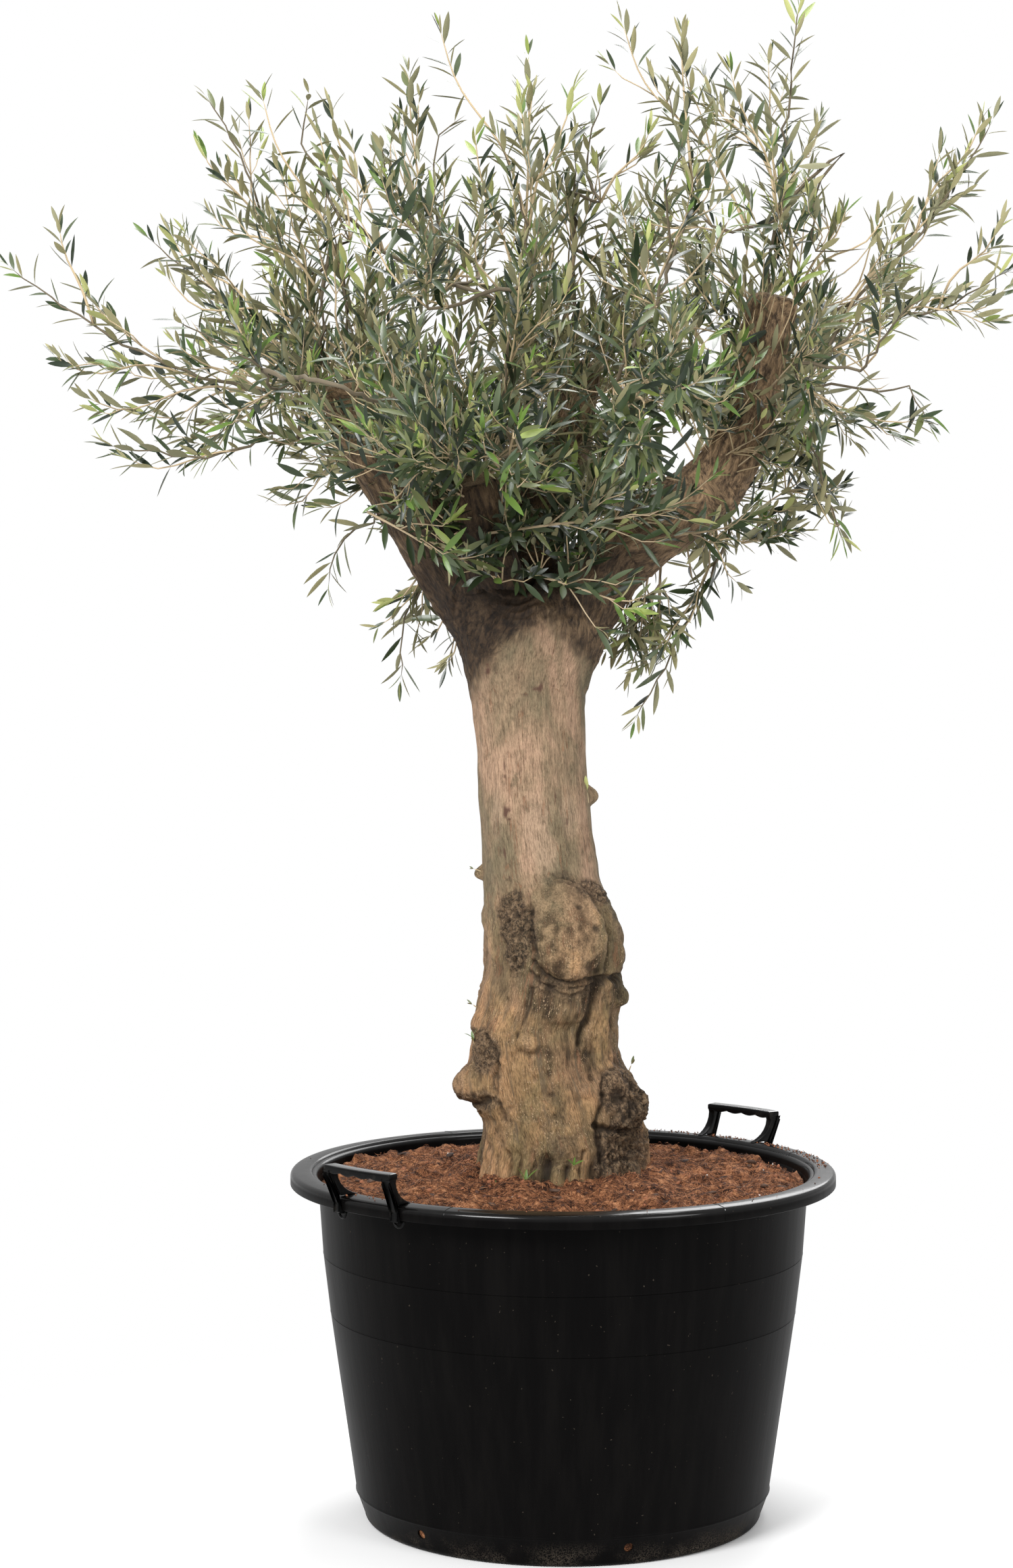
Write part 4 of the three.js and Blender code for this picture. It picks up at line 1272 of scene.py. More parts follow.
tan_bark = bark.blend(bark.read("rosy") * 0.75, tan_bark, (0.440, 0.300, 0.205))
toned = bark.blend(foot, tan_bark, bark.tinted(tan_bark, (0.68, 0.64, 0.55)))
toned = bark.blend(bark.read("pale") * stains.between(0.62, 0.42) * 0.6, toned, (0.40, 0.265, 0.160))
# Painted shade in the low-lying relief, strongest low on the stem, and painted highlight on the raised relief
# low on the stem.
raised = bark.read("raised")
low_relief_shade = raised.between(0.50, 0.18) * (0.25 + foot * 0.72)
toned = bark.blend(low_relief_shade, toned, bark.tinted(toned, (0.22, 0.20, 0.165)))
toned = bark.blend(raised.between(0.52, 0.78) * foot * 0.9, toned, bark.tinted(toned, (1.56, 1.50, 1.40)))
toned = bark.blend(stains.between(0.54, 0.70) * 0.55, toned, (0.150, 0.118, 0.066))
grains = bark.noise(skin_place, 300, 5, 0.75)
smooth_part = 1 - bark.read("pale").between(0.1, 0.6)
pitted = (fibres.between(0.40, 0.54) * 0.40 + stipple.between(0.43, 0.56) * 0.35) * smooth_part
pitted = pitted + (grains.between(0.42, 0.57) * 0.5 + 0.22) * (1 - smooth_part)
pitted = pitted + mottles.between(0.40, 0.56) * 0.25
toned = bark.blend(foot, bark.tinted(toned, (1.06, 1.075, 1.045)), bark.tinted(toned, (1.17, 1.15, 1.07)))
pitted = pitted * (0.86 + foot * 0.14) + 0.14 * (1 - foot)
toned = bark.blend(pitted, bark.tinted(toned, (0.22, 0.20, 0.17)), toned)
flecked = flecks.between(0.57, 0.68) * (0.25 + foot * 0.55) * stains.between(0.40, 0.60)
toned = bark.blend(flecked, toned, (0.60, 0.42, 0.26))
striped = stripes.between(0.56, 0.68) * (0.35 + foot * 0.35) * smooth_part
toned = bark.blend(striped, toned, (0.105, 0.076, 0.046))
toned = bark.blend(in_cracks * 0.5, toned, (0.24, 0.110, 0.055))
limb_bark = bark.ramp(
    crackled * 0.65 + mottles * 0.35,
    (0.38, (0.040, 0.026, 0.016)),
    (0.46, (0.150, 0.098, 0.058)),
    (0.53, (0.320, 0.212, 0.118)),
    (0.62, (0.520, 0.350, 0.200)),
)
toned = bark.blend(bark.read("bough"), toned, limb_bark)
# Painted shade over the fork under the crown.
toned = bark.blend(bark.read("fork") * 0.92, toned, bark.tinted(toned, (0.070, 0.054, 0.046)))
warts = bark.noise(skin_place, 150, 5, 0.75, 0.8)
cankered = bark.blend(warts.between(0.40, 0.60), (0.022, 0.015, 0.010), (0.300, 0.205, 0.122))
cankered = bark.blend(stipple.between(0.42, 0.60), bark.tinted(cankered, (0.55, 0.50, 0.46)), cankered)
toned = bark.blend(bark.read("canker").between(0.15, 0.7) * 0.85, toned, cankered)
# Painted shade: the folds, pits and the canker's hollows darkened nearly to black.
toned = bark.blend(bark.read("dark") * 0.86, toned, (0.026, 0.017, 0.010))
toned = bark.blend(bark.read("scar") * 0.85, toned, (0.070, 0.026, 0.018))
cut_wood = bark.blend(stipple.between(0.4, 0.6), (0.24, 0.17, 0.105), (0.48, 0.36, 0.235))
toned = bark.blend(bark.read("sawn") * 0.9, toned, cut_wood)
wood_bump = bark.bump((stripes + fibres * 0.5 - in_cracks * 0.5) * steady_part, 0.0040, 0.8)
wood_bump = bark.bump(crackled * bark.read("bough") * steady_part, 0.0060, 0.9, wood_bump)
warty = warts * (bark.read("canker") * 1.2 + bark.read("pale") * 0.6)
fine_bump = (stipple * 0.5 + flecks * 0.3 + mottles * 0.4) * steady_part + warty
bark.feed(
    Base_Color=toned, Roughness=0.62 + stipple * 0.25, Normal=bark.bump(fine_bump, 0.0034, 0.95, wood_bump)
)

# The wood is parted at two heights, with its normals kept, so that no mesh is too heavy.
wood.data.shade_smooth()
attribute(wood.data, "kept_normal", rows_of(wood.data.vertices, "normal"))
polygon_corners = np.empty(len(wood.data.loops), np.int32)
wood.data.loops.foreach_get("vertex_index", polygon_corners)
polygon_starts = np.empty(len(wood.data.polygons), np.int32)
wood.data.polygons.foreach_get("loop_start", polygon_starts)
corner_heights = rows_of(wood.data.vertices, "co")[polygon_corners, 2]
corner_counts = np.diff([*polygon_starts, len(polygon_corners)])
face_heights = np.add.reduceat(corner_heights, polygon_starts) / corner_counts


def part_of_wood(name, chosen, nodes):
    """The faces of the stem that are chosen, as a piece of their own, with the CAD nodes given hidden."""
    shape = bmesh.new()
    shape.from_mesh(wood.data)
    shape.faces.ensure_lookup_table()
    bmesh.ops.delete(shape, geom=[shape.faces[i] for i in np.flatnonzero(~chosen)], context="FACES")
    mesh = bpy.data.meshes.new(name)
    shape.to_mesh(mesh)
    shape.free()
    kept = np.empty(len(mesh.vertices) * 3, np.float32)
    mesh.attributes["kept_normal"].data.foreach_get("vector", kept)
    mesh.shade_smooth()
    mesh.normals_split_custom_set_from_vertices(kept.reshape(-1, 3).tolist())
    mesh.attributes.remove(mesh.attributes["kept_normal"])
    piece = shown(name, mesh, bark)
    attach(piece, "root")
    if nodes:
        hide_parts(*nodes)


part_of_wood("trunk_bark", face_heights < TRUNK_SPLIT, ["trunk"])
part_of_wood("fork_bark", (face_heights >= TRUNK_SPLIT) & (face_heights < FORK_SPLIT), [])
part_of_wood("bough_bark", face_heights >= FORK_SPLIT, LIMB_NODES)
bpy.data.objects.remove(wood)


# ---------- branches ----------
# Shoots that the tree threw up from its sawn boughs: a main branch runs through each mass of foliage to its
# furthest tip, shoots leave it at a slant towards the light and reach the mass's skin, and long shoots have
# side twigs. Pale beige bark, browner and thicker towards the bough.

GROWTH_SEED = 5
SIGHT_SLANT = 0.06  # how a line of sight through the crown slants, and the height and distance it comes from
EYE_HEIGHT = CAMERA_PLACE[2]
EYE_AWAY = 6.1
BRANCH_MARGIN = 0.004  # how far a branch, and a leaf, may pass the CAD model's box
LEAF_MARGIN = 0.018
SHOOTS_PER_M2 = 50
SHOOT_REACH = 0.46
TWIG_SPACING = 0.058
TIP_RADIUS = 0.0009
STEP = 0.030
HEART = np.array([-0.05, 0.03, 1.72])  # the place in the fork that the whole crown spreads from
FULLNESS = {  # how thickly a mass's shoots stand: the product of the shares whose key its name starts with
    "top_": 0.27, "top_right": 0.8, "top_middle": 1.0, "top_left": 0.65, "top_right_inner": 0.62,
    "left_upper": 0.50, "left_low": 0.50, "left_middle": 0.48, "left_far": 0.8, "left_hanging": 0.6,
    "right_hanging": 0.6, "right_far": 0.62, "right_far_spray_high": 0.75, "right_upper": 0.62,
    "right_low": 0.55, "front_upper": 0.42, "front_far": 0.60, "front_low": 1.0, "back_": 0.78,
    "back_upper": 0.42, "core": 0.88, "core_left": 1.15,
}
OPENINGS = [  # windows of sky through the crown: across, height, half width, half height
    (-0.07, 1.955, 0.026, 0.034), (0.062, 2.065, 0.02, 0.03), (0.262, 2.14, 0.026, 0.032),
    (-0.13, 2.145, 0.02, 0.03), (0.53, 2.3, 0.04, 0.08), (0.195, 2.33, 0.022, 0.028),
    (-0.32, 2.38, 0.022, 0.03), (0.33, 1.56, 0.11, 0.13), (0.624, 2.105, 0.075, 0.055),
    (-0.73, 2.215, 0.075, 0.05), (-0.165, 2.6, 0.03, 0.08), (0.555, 2.47, 0.1, 0.08),
    (0.118, 2.612, 0.036, 0.062), (0.515, 2.09, 0.034, 0.036), (-0.595, 2.092, 0.038, 0.04),
    (-0.585, 1.842, 0.085, 0.036),
]
SPARSE = [  # where the leaf pairs stand twice as far apart: across, height, half width, half height
    (-0.45, 2.47, 0.26, 0.088), (0.63, 2.45, 0.06, 0.06),
]
WOOD_SHOWS = [  # where the old wood shows through the crown's front: across, height, half size, how bare
    (0.088, 1.712, 0.056, 0.85), (0.155, 1.773, 0.06, 0.92), (0.217, 1.828, 0.062, 0.95),
    (0.279, 1.883, 0.062, 0.95), (0.322, 1.945, 0.056, 0.88), (0.346, 2.012, 0.046, 0.75),
    (0.353, 2.098, 0.04, 0.7), (0.377, 2.19, 0.052, 0.8), (-0.227, 1.694, 0.056, 0.9),
    (-0.289, 1.78, 0.052, 0.85), (-0.344, 1.865, 0.05, 0.8), (-0.375, 1.926, 0.044, 0.65),
    (-0.4, 2.04, 0.04, 0.55), (-0.155, 1.87, 0.042, 0.97), (-0.16, 1.668, 0.045, 0.97),
    (-0.095, 1.655, 0.048, 0.97), (-0.03, 1.655, 0.045, 0.97), (0.035, 1.65, 0.045, 0.97),
    (-0.104, 1.73, 0.068, 0.9), (-0.165, 1.694, 0.06, 0.9), (-0.005, 1.718, 0.056, 0.9),
    (-0.067, 1.853, 0.04, 0.7), (-0.22, 1.8, 0.04, 0.7), (0.04, 1.69, 0.06, 0.9),
]
CLUSTERS = [  # where tufts of short broad-leaved shoots break out of the old wood about the fork
    (-0.215, -0.13, 1.866), (-0.173, -0.15, 1.89), (-0.107, -0.16, 1.818), (-0.161, -0.15, 1.734),
    (-0.119, -0.17, 1.714), (-0.041, -0.15, 1.738), (0.019, -0.15, 1.722), (0.145, -0.12, 1.827),
    (0.109, -0.13, 1.842), (0.296, -0.1, 1.794), (0.33, -0.1, 1.96), (-0.28, -0.08, 1.85),
    (0.345, -0.09, 2.08), (0.18, 0.1, 1.8), (-0.15, 0.12, 1.8), (-0.33, 0.06, 1.93), (0.375, -0.05, 1.85),
    (0.43, -0.04, 1.89), (0.35, -0.06, 1.79),
]
CROSSING = [  # long shoots that cross in front of the fork, and ones that hang behind its sides: foot, tip
    ((-0.142, -0.15, 1.8), (0.27, -0.3, 1.905)), ((-0.35, -0.12, 1.84), (-0.13, -0.25, 1.765)),
    ((-0.06, -0.15, 1.73), (0.165, -0.29, 1.7)), ((0.2, -0.08, 1.8), (0.33, -0.26, 1.85)),
    ((-0.16, -0.12, 1.86), (-0.26, -0.3, 1.93)), ((0.02, -0.1, 1.8), (0.06, -0.28, 1.905)),
    ((0.16, 0.06, 1.76), (0.12, 0.06, 1.545)), ((0.18, 0.05, 1.77), (0.175, 0.06, 1.6)),
    ((0.14, 0.08, 1.74), (0.08, 0.11, 1.59)), ((0.22, 0.05, 1.81), (0.245, 0.02, 1.7)),
    ((0.18, 0.07, 1.77), (0.17, 0.13, 1.62)), ((0.12, 0.1, 1.72), (0.15, 0.16, 1.58)),
    ((-0.19, 0.06, 1.7), (-0.255, 0.04, 1.61)), ((-0.18, 0.08, 1.68), (-0.215, 0.06, 1.56)),
    ((-0.24, 0.05, 1.76), (-0.32, 0.02, 1.68)), ((-0.19, 0.1, 1.7), (-0.215, 0.1, 1.57)),
]
LEADERS = [  # long leafy shoots that stand up out of the crown: foot, tip
    ((-0.38, -0.05, 2.25), (-0.54, -0.08, 2.585)), ((-0.335, 0, 2.245), (-0.425, 0.03, 2.58)),
    ((-0.225, 0.05, 2.26), (-0.285, 0.08, 2.65)), ((-0.055, -0.05, 2.35), (-0.225, -0.02, 2.715)),
    ((-0.04, 0.05, 2.335), (-0.065, 0.08, 2.68)), ((0.02, 0, 2.34), (0.02, -0.05, 2.605)),
    ((0.315, 0, 2.4), (0.105, 0, 2.725)), ((0.275, -0.05, 2.42), (0.21, -0.08, 2.695)),
    ((0.34, 0.05, 2.41), (0.255, 0.1, 2.65)), ((0.36, -0.05, 2.37), (0.295, -0.1, 2.625)),
    ((0.42, 0.1, 2.315), (0.475, 0.15, 2.575)), ((0.42, -0.05, 2.24), (0.505, -0.1, 2.385)),
    ((0.455, -0.1, 2.185), (0.57, -0.15, 2.365)), ((0.5, 0, 2.185), (0.68, 0.05, 2.395)),
    ((0.685, 0.05, 2.285), (0.76, 0.05, 2.555)), ((0.67, 0, 2.255), (0.79, 0, 2.365)),
    ((-0.495, 0, 2.22), (-0.72, 0.05, 2.355)), ((-0.475, -0.1, 2.245), (-0.585, -0.15, 2.37)),
    ((-0.495, 0, 2.28), (-0.645, 0.05, 2.39)), ((-0.5, -0.1, 2.15), (-0.705, -0.15, 2.255)),
    ((0.13, 0.1, 2.375), (0.16, 0.15, 2.555)), ((-0.84, -0.15, 2.18), (-0.895, -0.15, 2.345)),
    ((0.495, 0, 2.33), (0.52, 0, 2.39)), ((-0.115, -0.05, 2.24), (-0.16, -0.1, 2.52)),
]
MAIN_TIPS = {  # where a main branch stops short of its mass's furthest corner
    "top_left": (-0.180, 0.100, 2.575), "top_middle": (-0.120, -0.120, 2.505),
    "top_right_inner": (0.185, -0.050, 2.600), "top_rear": (0.070, 0.150, 2.610),
}
luck = np.random.default_rng(GROWTH_SEED)
UP = np.array([0.0, 0.0, 1.0])
MASS_NODES = sorted(
    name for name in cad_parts
    if name not in ("tub", "soil", "trunk") and not name.startswith(("bough", "handle"))
)


def unit(vector):
    return vector / (np.linalg.norm(vector, axis=-1, keepdims=True) + 1e-12)


def curve_through(points, step=STEP):
    """A smooth line through points, in even steps."""
    points = np.asarray(points, float)
    ends = np.vstack([2 * points[0] - points[1], points, 2 * points[-1] - points[-2]])
    line = []
    for before, start, end, after in zip(ends, ends[1:], ends[2:], ends[3:]):
        count = max(2, int(np.linalg.norm(end - start) / step * 2))
        squared, cubed = 2 * before - 5 * start + 4 * end - after, 3 * start - before - 3 * end + after
        for share in np.arange(count) / count:
            place = 2 * start + (end - before) * share + squared * share ** 2 + cubed * share ** 3
            line.append(0.5 * place)
    line = np.array([*line, points[-1]])
    run = np.concatenate([[0], np.cumsum(np.linalg.norm(np.diff(line, axis=0), axis=1))])
    count = max(3, int(round(run[-1] / step)))
    even = np.linspace(0, run[-1], count + 1)
    return np.column_stack([np.interp(even, run, line[:, axis]) for axis in range(3)])


def in_opening(places, windows=OPENINGS):
    """Whether a place lies in line with a window of sky."""
    across = places[..., 0] - places[..., 1] * SIGHT_SLANT
    found = np.zeros(np.shape(across), bool)
    for x, height, half_width, half_height in windows:
        found |= np.hypot((across - x) / half_width, (places[..., 2] - height) / half_height) < 1
    return found


def bares_wood(place):
    """How likely it is that nothing grows at a place, for it would hide the old wood from the front."""
    if place[1] > 0.02:
        return 0.0
    across = place[0] - (place[1] + 0.08) * SIGHT_SLANT * np.sign(place[0])
    height = place[2] - (place[1] + 0.08) * (place[2] - EYE_HEIGHT) / EYE_AWAY
    near = [bare for x, z, half, bare in WOOD_SHOWS if math.hypot(across - x, height - z) < half]
    return max(near, default=0.0)


masses = {}
for node in MASS_NODES:
    shape = copied(node)
    bmesh.ops.triangulate(shape, faces=shape.faces)
    corners = np.array([vert.co for vert in shape.verts])
    triangles = np.array([[vert.index for vert in face.verts] for face in shape.faces])
    masses[node] = {"corners": corners, "triangles": triangles}
    shape.free()

# The wood that a branch can leave from: the outer part of each bough, then each main branch as it grows.
stations = []
bough_curves = {node: curve_through(limb_lines[node]) for node in LIMB_NODES}
for node, line in bough_curves.items():
    start = 0.35 if node == "bough_front_knob" else 0.5
    stations += list(line[int(start * len(line)):])
stations = np.array(stations)
branches = []


def grown(line, foot_radius, node, order, bare):
    """Adds a branch that tapers along its line, with leaves from a length of bare wood on.

    Its order is 0 for a main branch, 1 for a shoot, 2 for a side twig, 3 for a tuft's shoot, 4 for a crossing
    shoot and its twigs, and 5 for a leader.
    """
    share = np.linspace(0, 1, len(line))
    radii = TIP_RADIUS + (max(foot_radius, TIP_RADIUS) - TIP_RADIUS) * (1 - share) ** 0.85
    branches.append({"line": line, "radii": radii, "mass": node, "order": order, "bare": bare})
    return branches[-1]


def shoot_line(start, way, tip, bend):
    """A shoot's line: it leaves along a way, straightens towards its tip and is bent a little."""
    span = np.linalg.norm(tip - start)
    lower = start + unit(way) * span * 0.36 + bend * span
    upper = tip - unit(tip - start + UP * span * 0.4) * span * 0.28 + bend * span * 0.6
    return curve_through([start, lower, upper, tip])


waiting = set(MASS_NODES)
while waiting:
    # The mass nearest to the wood grown so far gets its main branch next.
    nearest = None
    for node in sorted(waiting):
        corners = masses[node]["corners"]
        gaps = np.linalg.norm(corners[:, None] - stations[None], axis=2)
        corner, station = np.unravel_index(gaps.argmin(), gaps.shape)
        if nearest is None or gaps[corner, station] < nearest[0] - 1e-9:
            nearest = (gaps[corner, station], node, stations[station])
    _, node, root = nearest
    waiting.remove(node)
    corners = masses[node]["corners"]
    tip = np.array(MAIN_TIPS.get(node, corners[np.linalg.norm(corners - root, axis=1).argmax()]))
    line = middle_line(corners, root, 4)
    inner = line[1:-1]
    if node in MAIN_TIPS:
        inner = inner[inner[:, 2] < tip[2] - 0.04]
    inner = inner[np.linalg.norm(inner - tip, axis=1) > 0.06]
    main = curve_through([root, *inner, tip])
    main[1:-1] += luck.normal(0, 0.003, main[1:-1].shape)
    length = STEP * len(main)
    branch = grown(main, 0.0022 + 0.0024 * min(1, length / 0.9), node, 0, max(0.28 * length, length - 0.55))
    masses[node]["main"] = main
    masses[node]["radii"] = branch["radii"]
    masses[node]["way"] = unit(tip - root)
    stations = np.vstack([stations, main[2:int(0.8 * len(main))]])

for node in MASS_NODES:
    mass = masses[node]
    corners, triangles, main = mass["corners"], mass["triangles"], mass["main"]
    full = math.prod(share for start, share in FULLNESS.items() if node.startswith(start))
    spread = corners[triangles]
    cross = np.cross(spread[:, 1] - spread[:, 0], spread[:, 2] - spread[:, 0])
    area = np.linalg.norm(cross, axis=1) / 2
    count = int(round(area.sum() * SHOOTS_PER_M2 * full))
    chosen = luck.choice(len(triangles), 6 * count, p=area / area.sum())
    a, b = luck.uniform(0, 1, (2, 6 * count, 1))
    a, b = np.where(a + b > 1, 1 - a, a), np.where(a + b > 1, 1 - b, b)
    corner = spread[chosen]
    tips = corner[:, 0] + a * (corner[:, 1] - corner[:, 0]) + b * (corner[:, 2] - corner[:, 0])
    hanging = "hanging" in node
    light = unit(unit(tips - HEART) * 0.75 + mass["way"] * 0.35 + UP * (-0.3 if hanging else 0.75))
    apart = 0.58 * math.sqrt(area.sum() / max(count, 1))
    taken = []
    for tip, way in zip(tips, light):
        if len(taken) >= count:
            break
        if any(np.linalg.norm(tip - other) < apart for other in taken):
            continue
        offsets = tip - main[1:-1]
        gaps = np.linalg.norm(offsets, axis=1)
        slant = (offsets / (gaps[:, None] + 1e-9)) @ way
        worth = slant - 0.9 * np.abs(gaps - 0.24) - 2.0 * (gaps < 0.05)
        leave = int(worth.argmax()) + 1
        if slant[leave - 1] < luck.uniform(-0.2, 0.45):
            continue
        taken.append(tip)
        start = main[leave]
        reach = np.linalg.norm(tip - start)
        if reach < 0.05:
            continue
        tip = start + (tip - start) * min(1, SHOOT_REACH / reach) * luck.uniform(0.88, 1.06)
        if in_opening(tip - UP * 0.03) or luck.uniform() < 0.7 * bares_wood((start + tip) / 2):
            continue
        along = unit(main[leave + 1] - main[leave - 1])
        leaving = unit(unit(tip - start) + 0.45 * along - (0.0 if hanging else 0.05) * UP)
        line = shoot_line(start, leaving, tip, luck.normal(0, 0.022, 3))
        line[1:] += luck.normal(0, 0.0013, line[1:].shape)
        foot_radius = min(mass["radii"][leave] * 0.85, 0.0012 + 0.0046 * reach)
        grown(line, foot_radius, node, 1, min(0.30 * reach, 0.09))

# Short young shoots straight out of the old wood, and a few long ones that cross in front of the fork.
everywhere = {node: masses[node]["corners"].mean(0) for node in MASS_NODES}


def nearest_mass(place):
    return min(MASS_NODES, key=lambda node: np.linalg.norm(everywhere[node] - place))


for node, line in bough_curves.items():
    for _ in range(10 if node == "bough_front_knob" else 17):
        start = line[luck.integers(int(0.30 * len(line)), len(line))]
        turn = luck.uniform(0, math.tau)
        out = np.array([math.cos(turn), math.sin(turn), 0.0])
        way = unit(out * luck.uniform(0.5, 1.1) + UP * luck.uniform(0.2, 1.0))
        tip = start + way * (0.075 + luck.uniform(0.10, 0.26)) + UP * 0.02
        if in_opening(tip):
            continue
        grown(shoot_line(start, way, tip, luck.normal(0, 0.03, 3)), 0.0019, nearest_mass(tip), 1, 0.070)
for place in CLUSTERS:
    for _ in range(5):
        outward_way = unit(np.array(place) - HEART)
        start = np.array(place) - outward_way * 0.03
        rise = 0.25 + 0.5 * (place[2] < 1.78)
        way = unit(outward_way * 0.8 + luck.normal(0, 0.55, 3) + UP * rise)
        tip = start + way * luck.uniform(0.06, 0.13)
        grown(shoot_line(start, way, tip, luck.normal(0, 0.03, 3)), 0.0017, nearest_mass(tip), 3, 0.028)
for foot, tip in CROSSING:
    foot, tip = np.array(foot), np.array(tip)
    way = unit(tip - foot + np.array([0, -0.35, -0.15]) * np.linalg.norm(tip - foot))
    grown(shoot_line(foot, way, tip, luck.normal(0, 0.01, 3)), 0.0026, nearest_mass(tip), 4, 0.05)

for foot, tip in LEADERS:
    tip = np.array(tip)
    foot = stations[np.linalg.norm(stations - foot, axis=1).argmin()]
    line = shoot_line(foot, unit(tip - foot) + UP * 0.25, tip, luck.normal(0, 0.015, 3))
    grown(line, 0.0030, nearest_mass(tip), 5, 0.09)

# Side twigs leave the longer shoots in twos, a quarter turn on each time, and stay near the mass.
for branch in [b for b in branches if b["order"] in (1, 4, 5)]:
    line = branch["line"]
    length = np.linalg.norm(np.diff(line, axis=0), axis=1).sum()
    if length < 0.14:
        continue
    turn = luck.uniform(0, math.tau)
    place = 0.34 * length
    while place < 0.76 * length:
        spot = min(len(line) - 2, int(place / length * (len(line) - 1)))
        start = line[spot]
        along = unit(line[spot + 1] - line[max(0, spot - 1)])
        side = unit(np.cross(along, UP + 0.01))
        other = np.cross(along, side)
        for half in (0, math.pi):
            if luck.uniform() < (0.72 if branch["order"] == 5 else 0.45):
                continue
            out = side * math.cos(turn + half) + other * math.sin(turn + half)
            way = unit(along * 0.9 + out * 0.6 + UP * (-0.1 if "hanging" in branch["mass"] else 0.25))
            reach = luck.uniform(0.30, 0.62) * (length - place) + 0.03
            tip = start + unit(way + along * 0.3) * reach
            if in_opening(tip) or (luck.uniform() < bares_wood(tip) and branch["order"] != 4):
                continue
            twig = shoot_line(start, way, tip, luck.normal(0, 0.025, 3))
            grown(twig, branch["radii"][spot] * 0.7, branch["mass"], 4 if branch["order"] == 4 else 2, 0.016)
        turn += math.pi / 2 + luck.normal(0, 0.2)
        place += TWIG_SPACING * luck.uniform(0.8, 1.4)

room_low, room_high = np.array(cad_low) - BRANCH_MARGIN, np.array(cad_high) + BRANCH_MARGIN
for branch in branches:
    branch["line"] = np.clip(branch["line"], room_low, room_high)


def tubes(name, chosen, sides, *finishes):
    """One mesh of round branches, tapering along their lines and pointed at their tips."""
    verts, faces, tones = [], [], []
    base = 0
    for branch in chosen:
        line, radii = branch["line"], branch["radii"]
        ways = unit(np.gradient(line, axis=0))
        side = unit(np.cross(ways, UP + 0.013))
        other = np.cross(side, ways)
        turns = math.tau * np.arange(sides) / sides
        ring = side[:, None] * np.cos(turns)[None, :, None] + other[:, None] * np.sin(turns)[None, :, None]
        rings = line[:, None] + ring * radii[:, None, None]
        verts.append(rings[:-1].reshape(-1, 3))
        verts.append(line[-1:])
        steps = len(line) - 2
        first = np.arange(sides)
        after = (first + 1) % sides
        for step in range(steps):
            low, high = base + step * sides, base + (step + 1) * sides
            faces += [(low + i, low + j, high + j, high + i) for i, j in zip(first, after)]
            tones += [branch.get("tone", 0)] * sides
        apex = base + (steps + 1) * sides
        faces += [(base + steps * sides + i, base + steps * sides + j, apex) for i, j in zip(first, after)]
        faces.append(tuple(base + i for i in first[::-1]))
        tones += [branch.get("tone", 0)] * (sides + 1)
        base = apex + 1
    mesh = bpy.data.meshes.new(name)
    mesh.from_pydata(np.vstack(verts).tolist(), [], [tuple(int(i) for i in face) for face in faces])
    mesh.polygons.foreach_set("material_index", np.array(tones, np.int32))
    mesh.shade_smooth()
    piece = shown(name, mesh, *finishes)
    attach(piece, "root")


twig_finishes = [
    plain("young_twig", (0.48, 0.37, 0.22), 0.65),
    plain("grey_twig", (0.42, 0.325, 0.205), 0.75),
    plain("brown_branch", (0.130, 0.104, 0.066), 0.85),
]
for branch in branches:
    branch["tone"] = {0: 2, 1: int(luck.uniform() < 0.4), 2: 0, 3: 0, 4: 1, 5: 0}[branch["order"]]
tubes("main_branches", [b for b in branches if b["order"] == 0], 8, *twig_finishes)
tubes("shoots", [b for b in branches if b["order"] in (1, 4, 5)], 5, *twig_finishes)
tubes("side_twigs", [b for b in branches if b["order"] in (2, 3)], 4, *twig_finishes)


# ---------- leaves ----------
# Narrow leathery leaves in pairs, each pair a quarter turn on from the last: dark grey-green and faintly
# glossy above, khaki and matt beneath, brighter and smaller at the tips of the shoots.

LEAF_SEED = 8
LEAF_LENGTH = (0.043, 0.071)
LEAF_SLIM = 0.178  # width as a share of the length
LEAF_STATIONS = (0.0, 0.07, 0.26, 0.48, 0.70, 0.88, 1.0)
LEAF_WIDTHS = (0.0, 0.13, 0.78, 1.0, 0.84, 0.44, 0.0)
LEAF_FOLD = 0.22
LEAF_THICK = 0.010
PAIR_SPACING = 0.024
luck = np.random.default_rng(LEAF_SEED)

upper_tones = [
    plain("leaf_deep", (0.010, 0.020, 0.007), 0.32),
    plain("leaf_green", (0.031, 0.052, 0.018), 0.32),
    plain("leaf_grey_green", (0.072, 0.096, 0.046), 0.34),
    plain("leaf_olive", (0.108, 0.128, 0.046), 0.36),
    plain("leaf_fresh", (0.100, 0.175, 0.030), 0.36),
    plain("leaf_bright", (0.235, 0.300, 0.066), 0.42),
]
under_tones = [
    plain("leaf_under_khaki", (0.325, 0.300, 0.155), 0.62),
    plain("leaf_under_grey", (0.235, 0.228, 0.130), 0.62),
    plain("leaf_under_fresh", (0.430, 0.450, 0.170), 0.60),
]
UNDER = {0: 1, 1: 0, 2: 1, 3: 0, 4: 2, 5: 2}

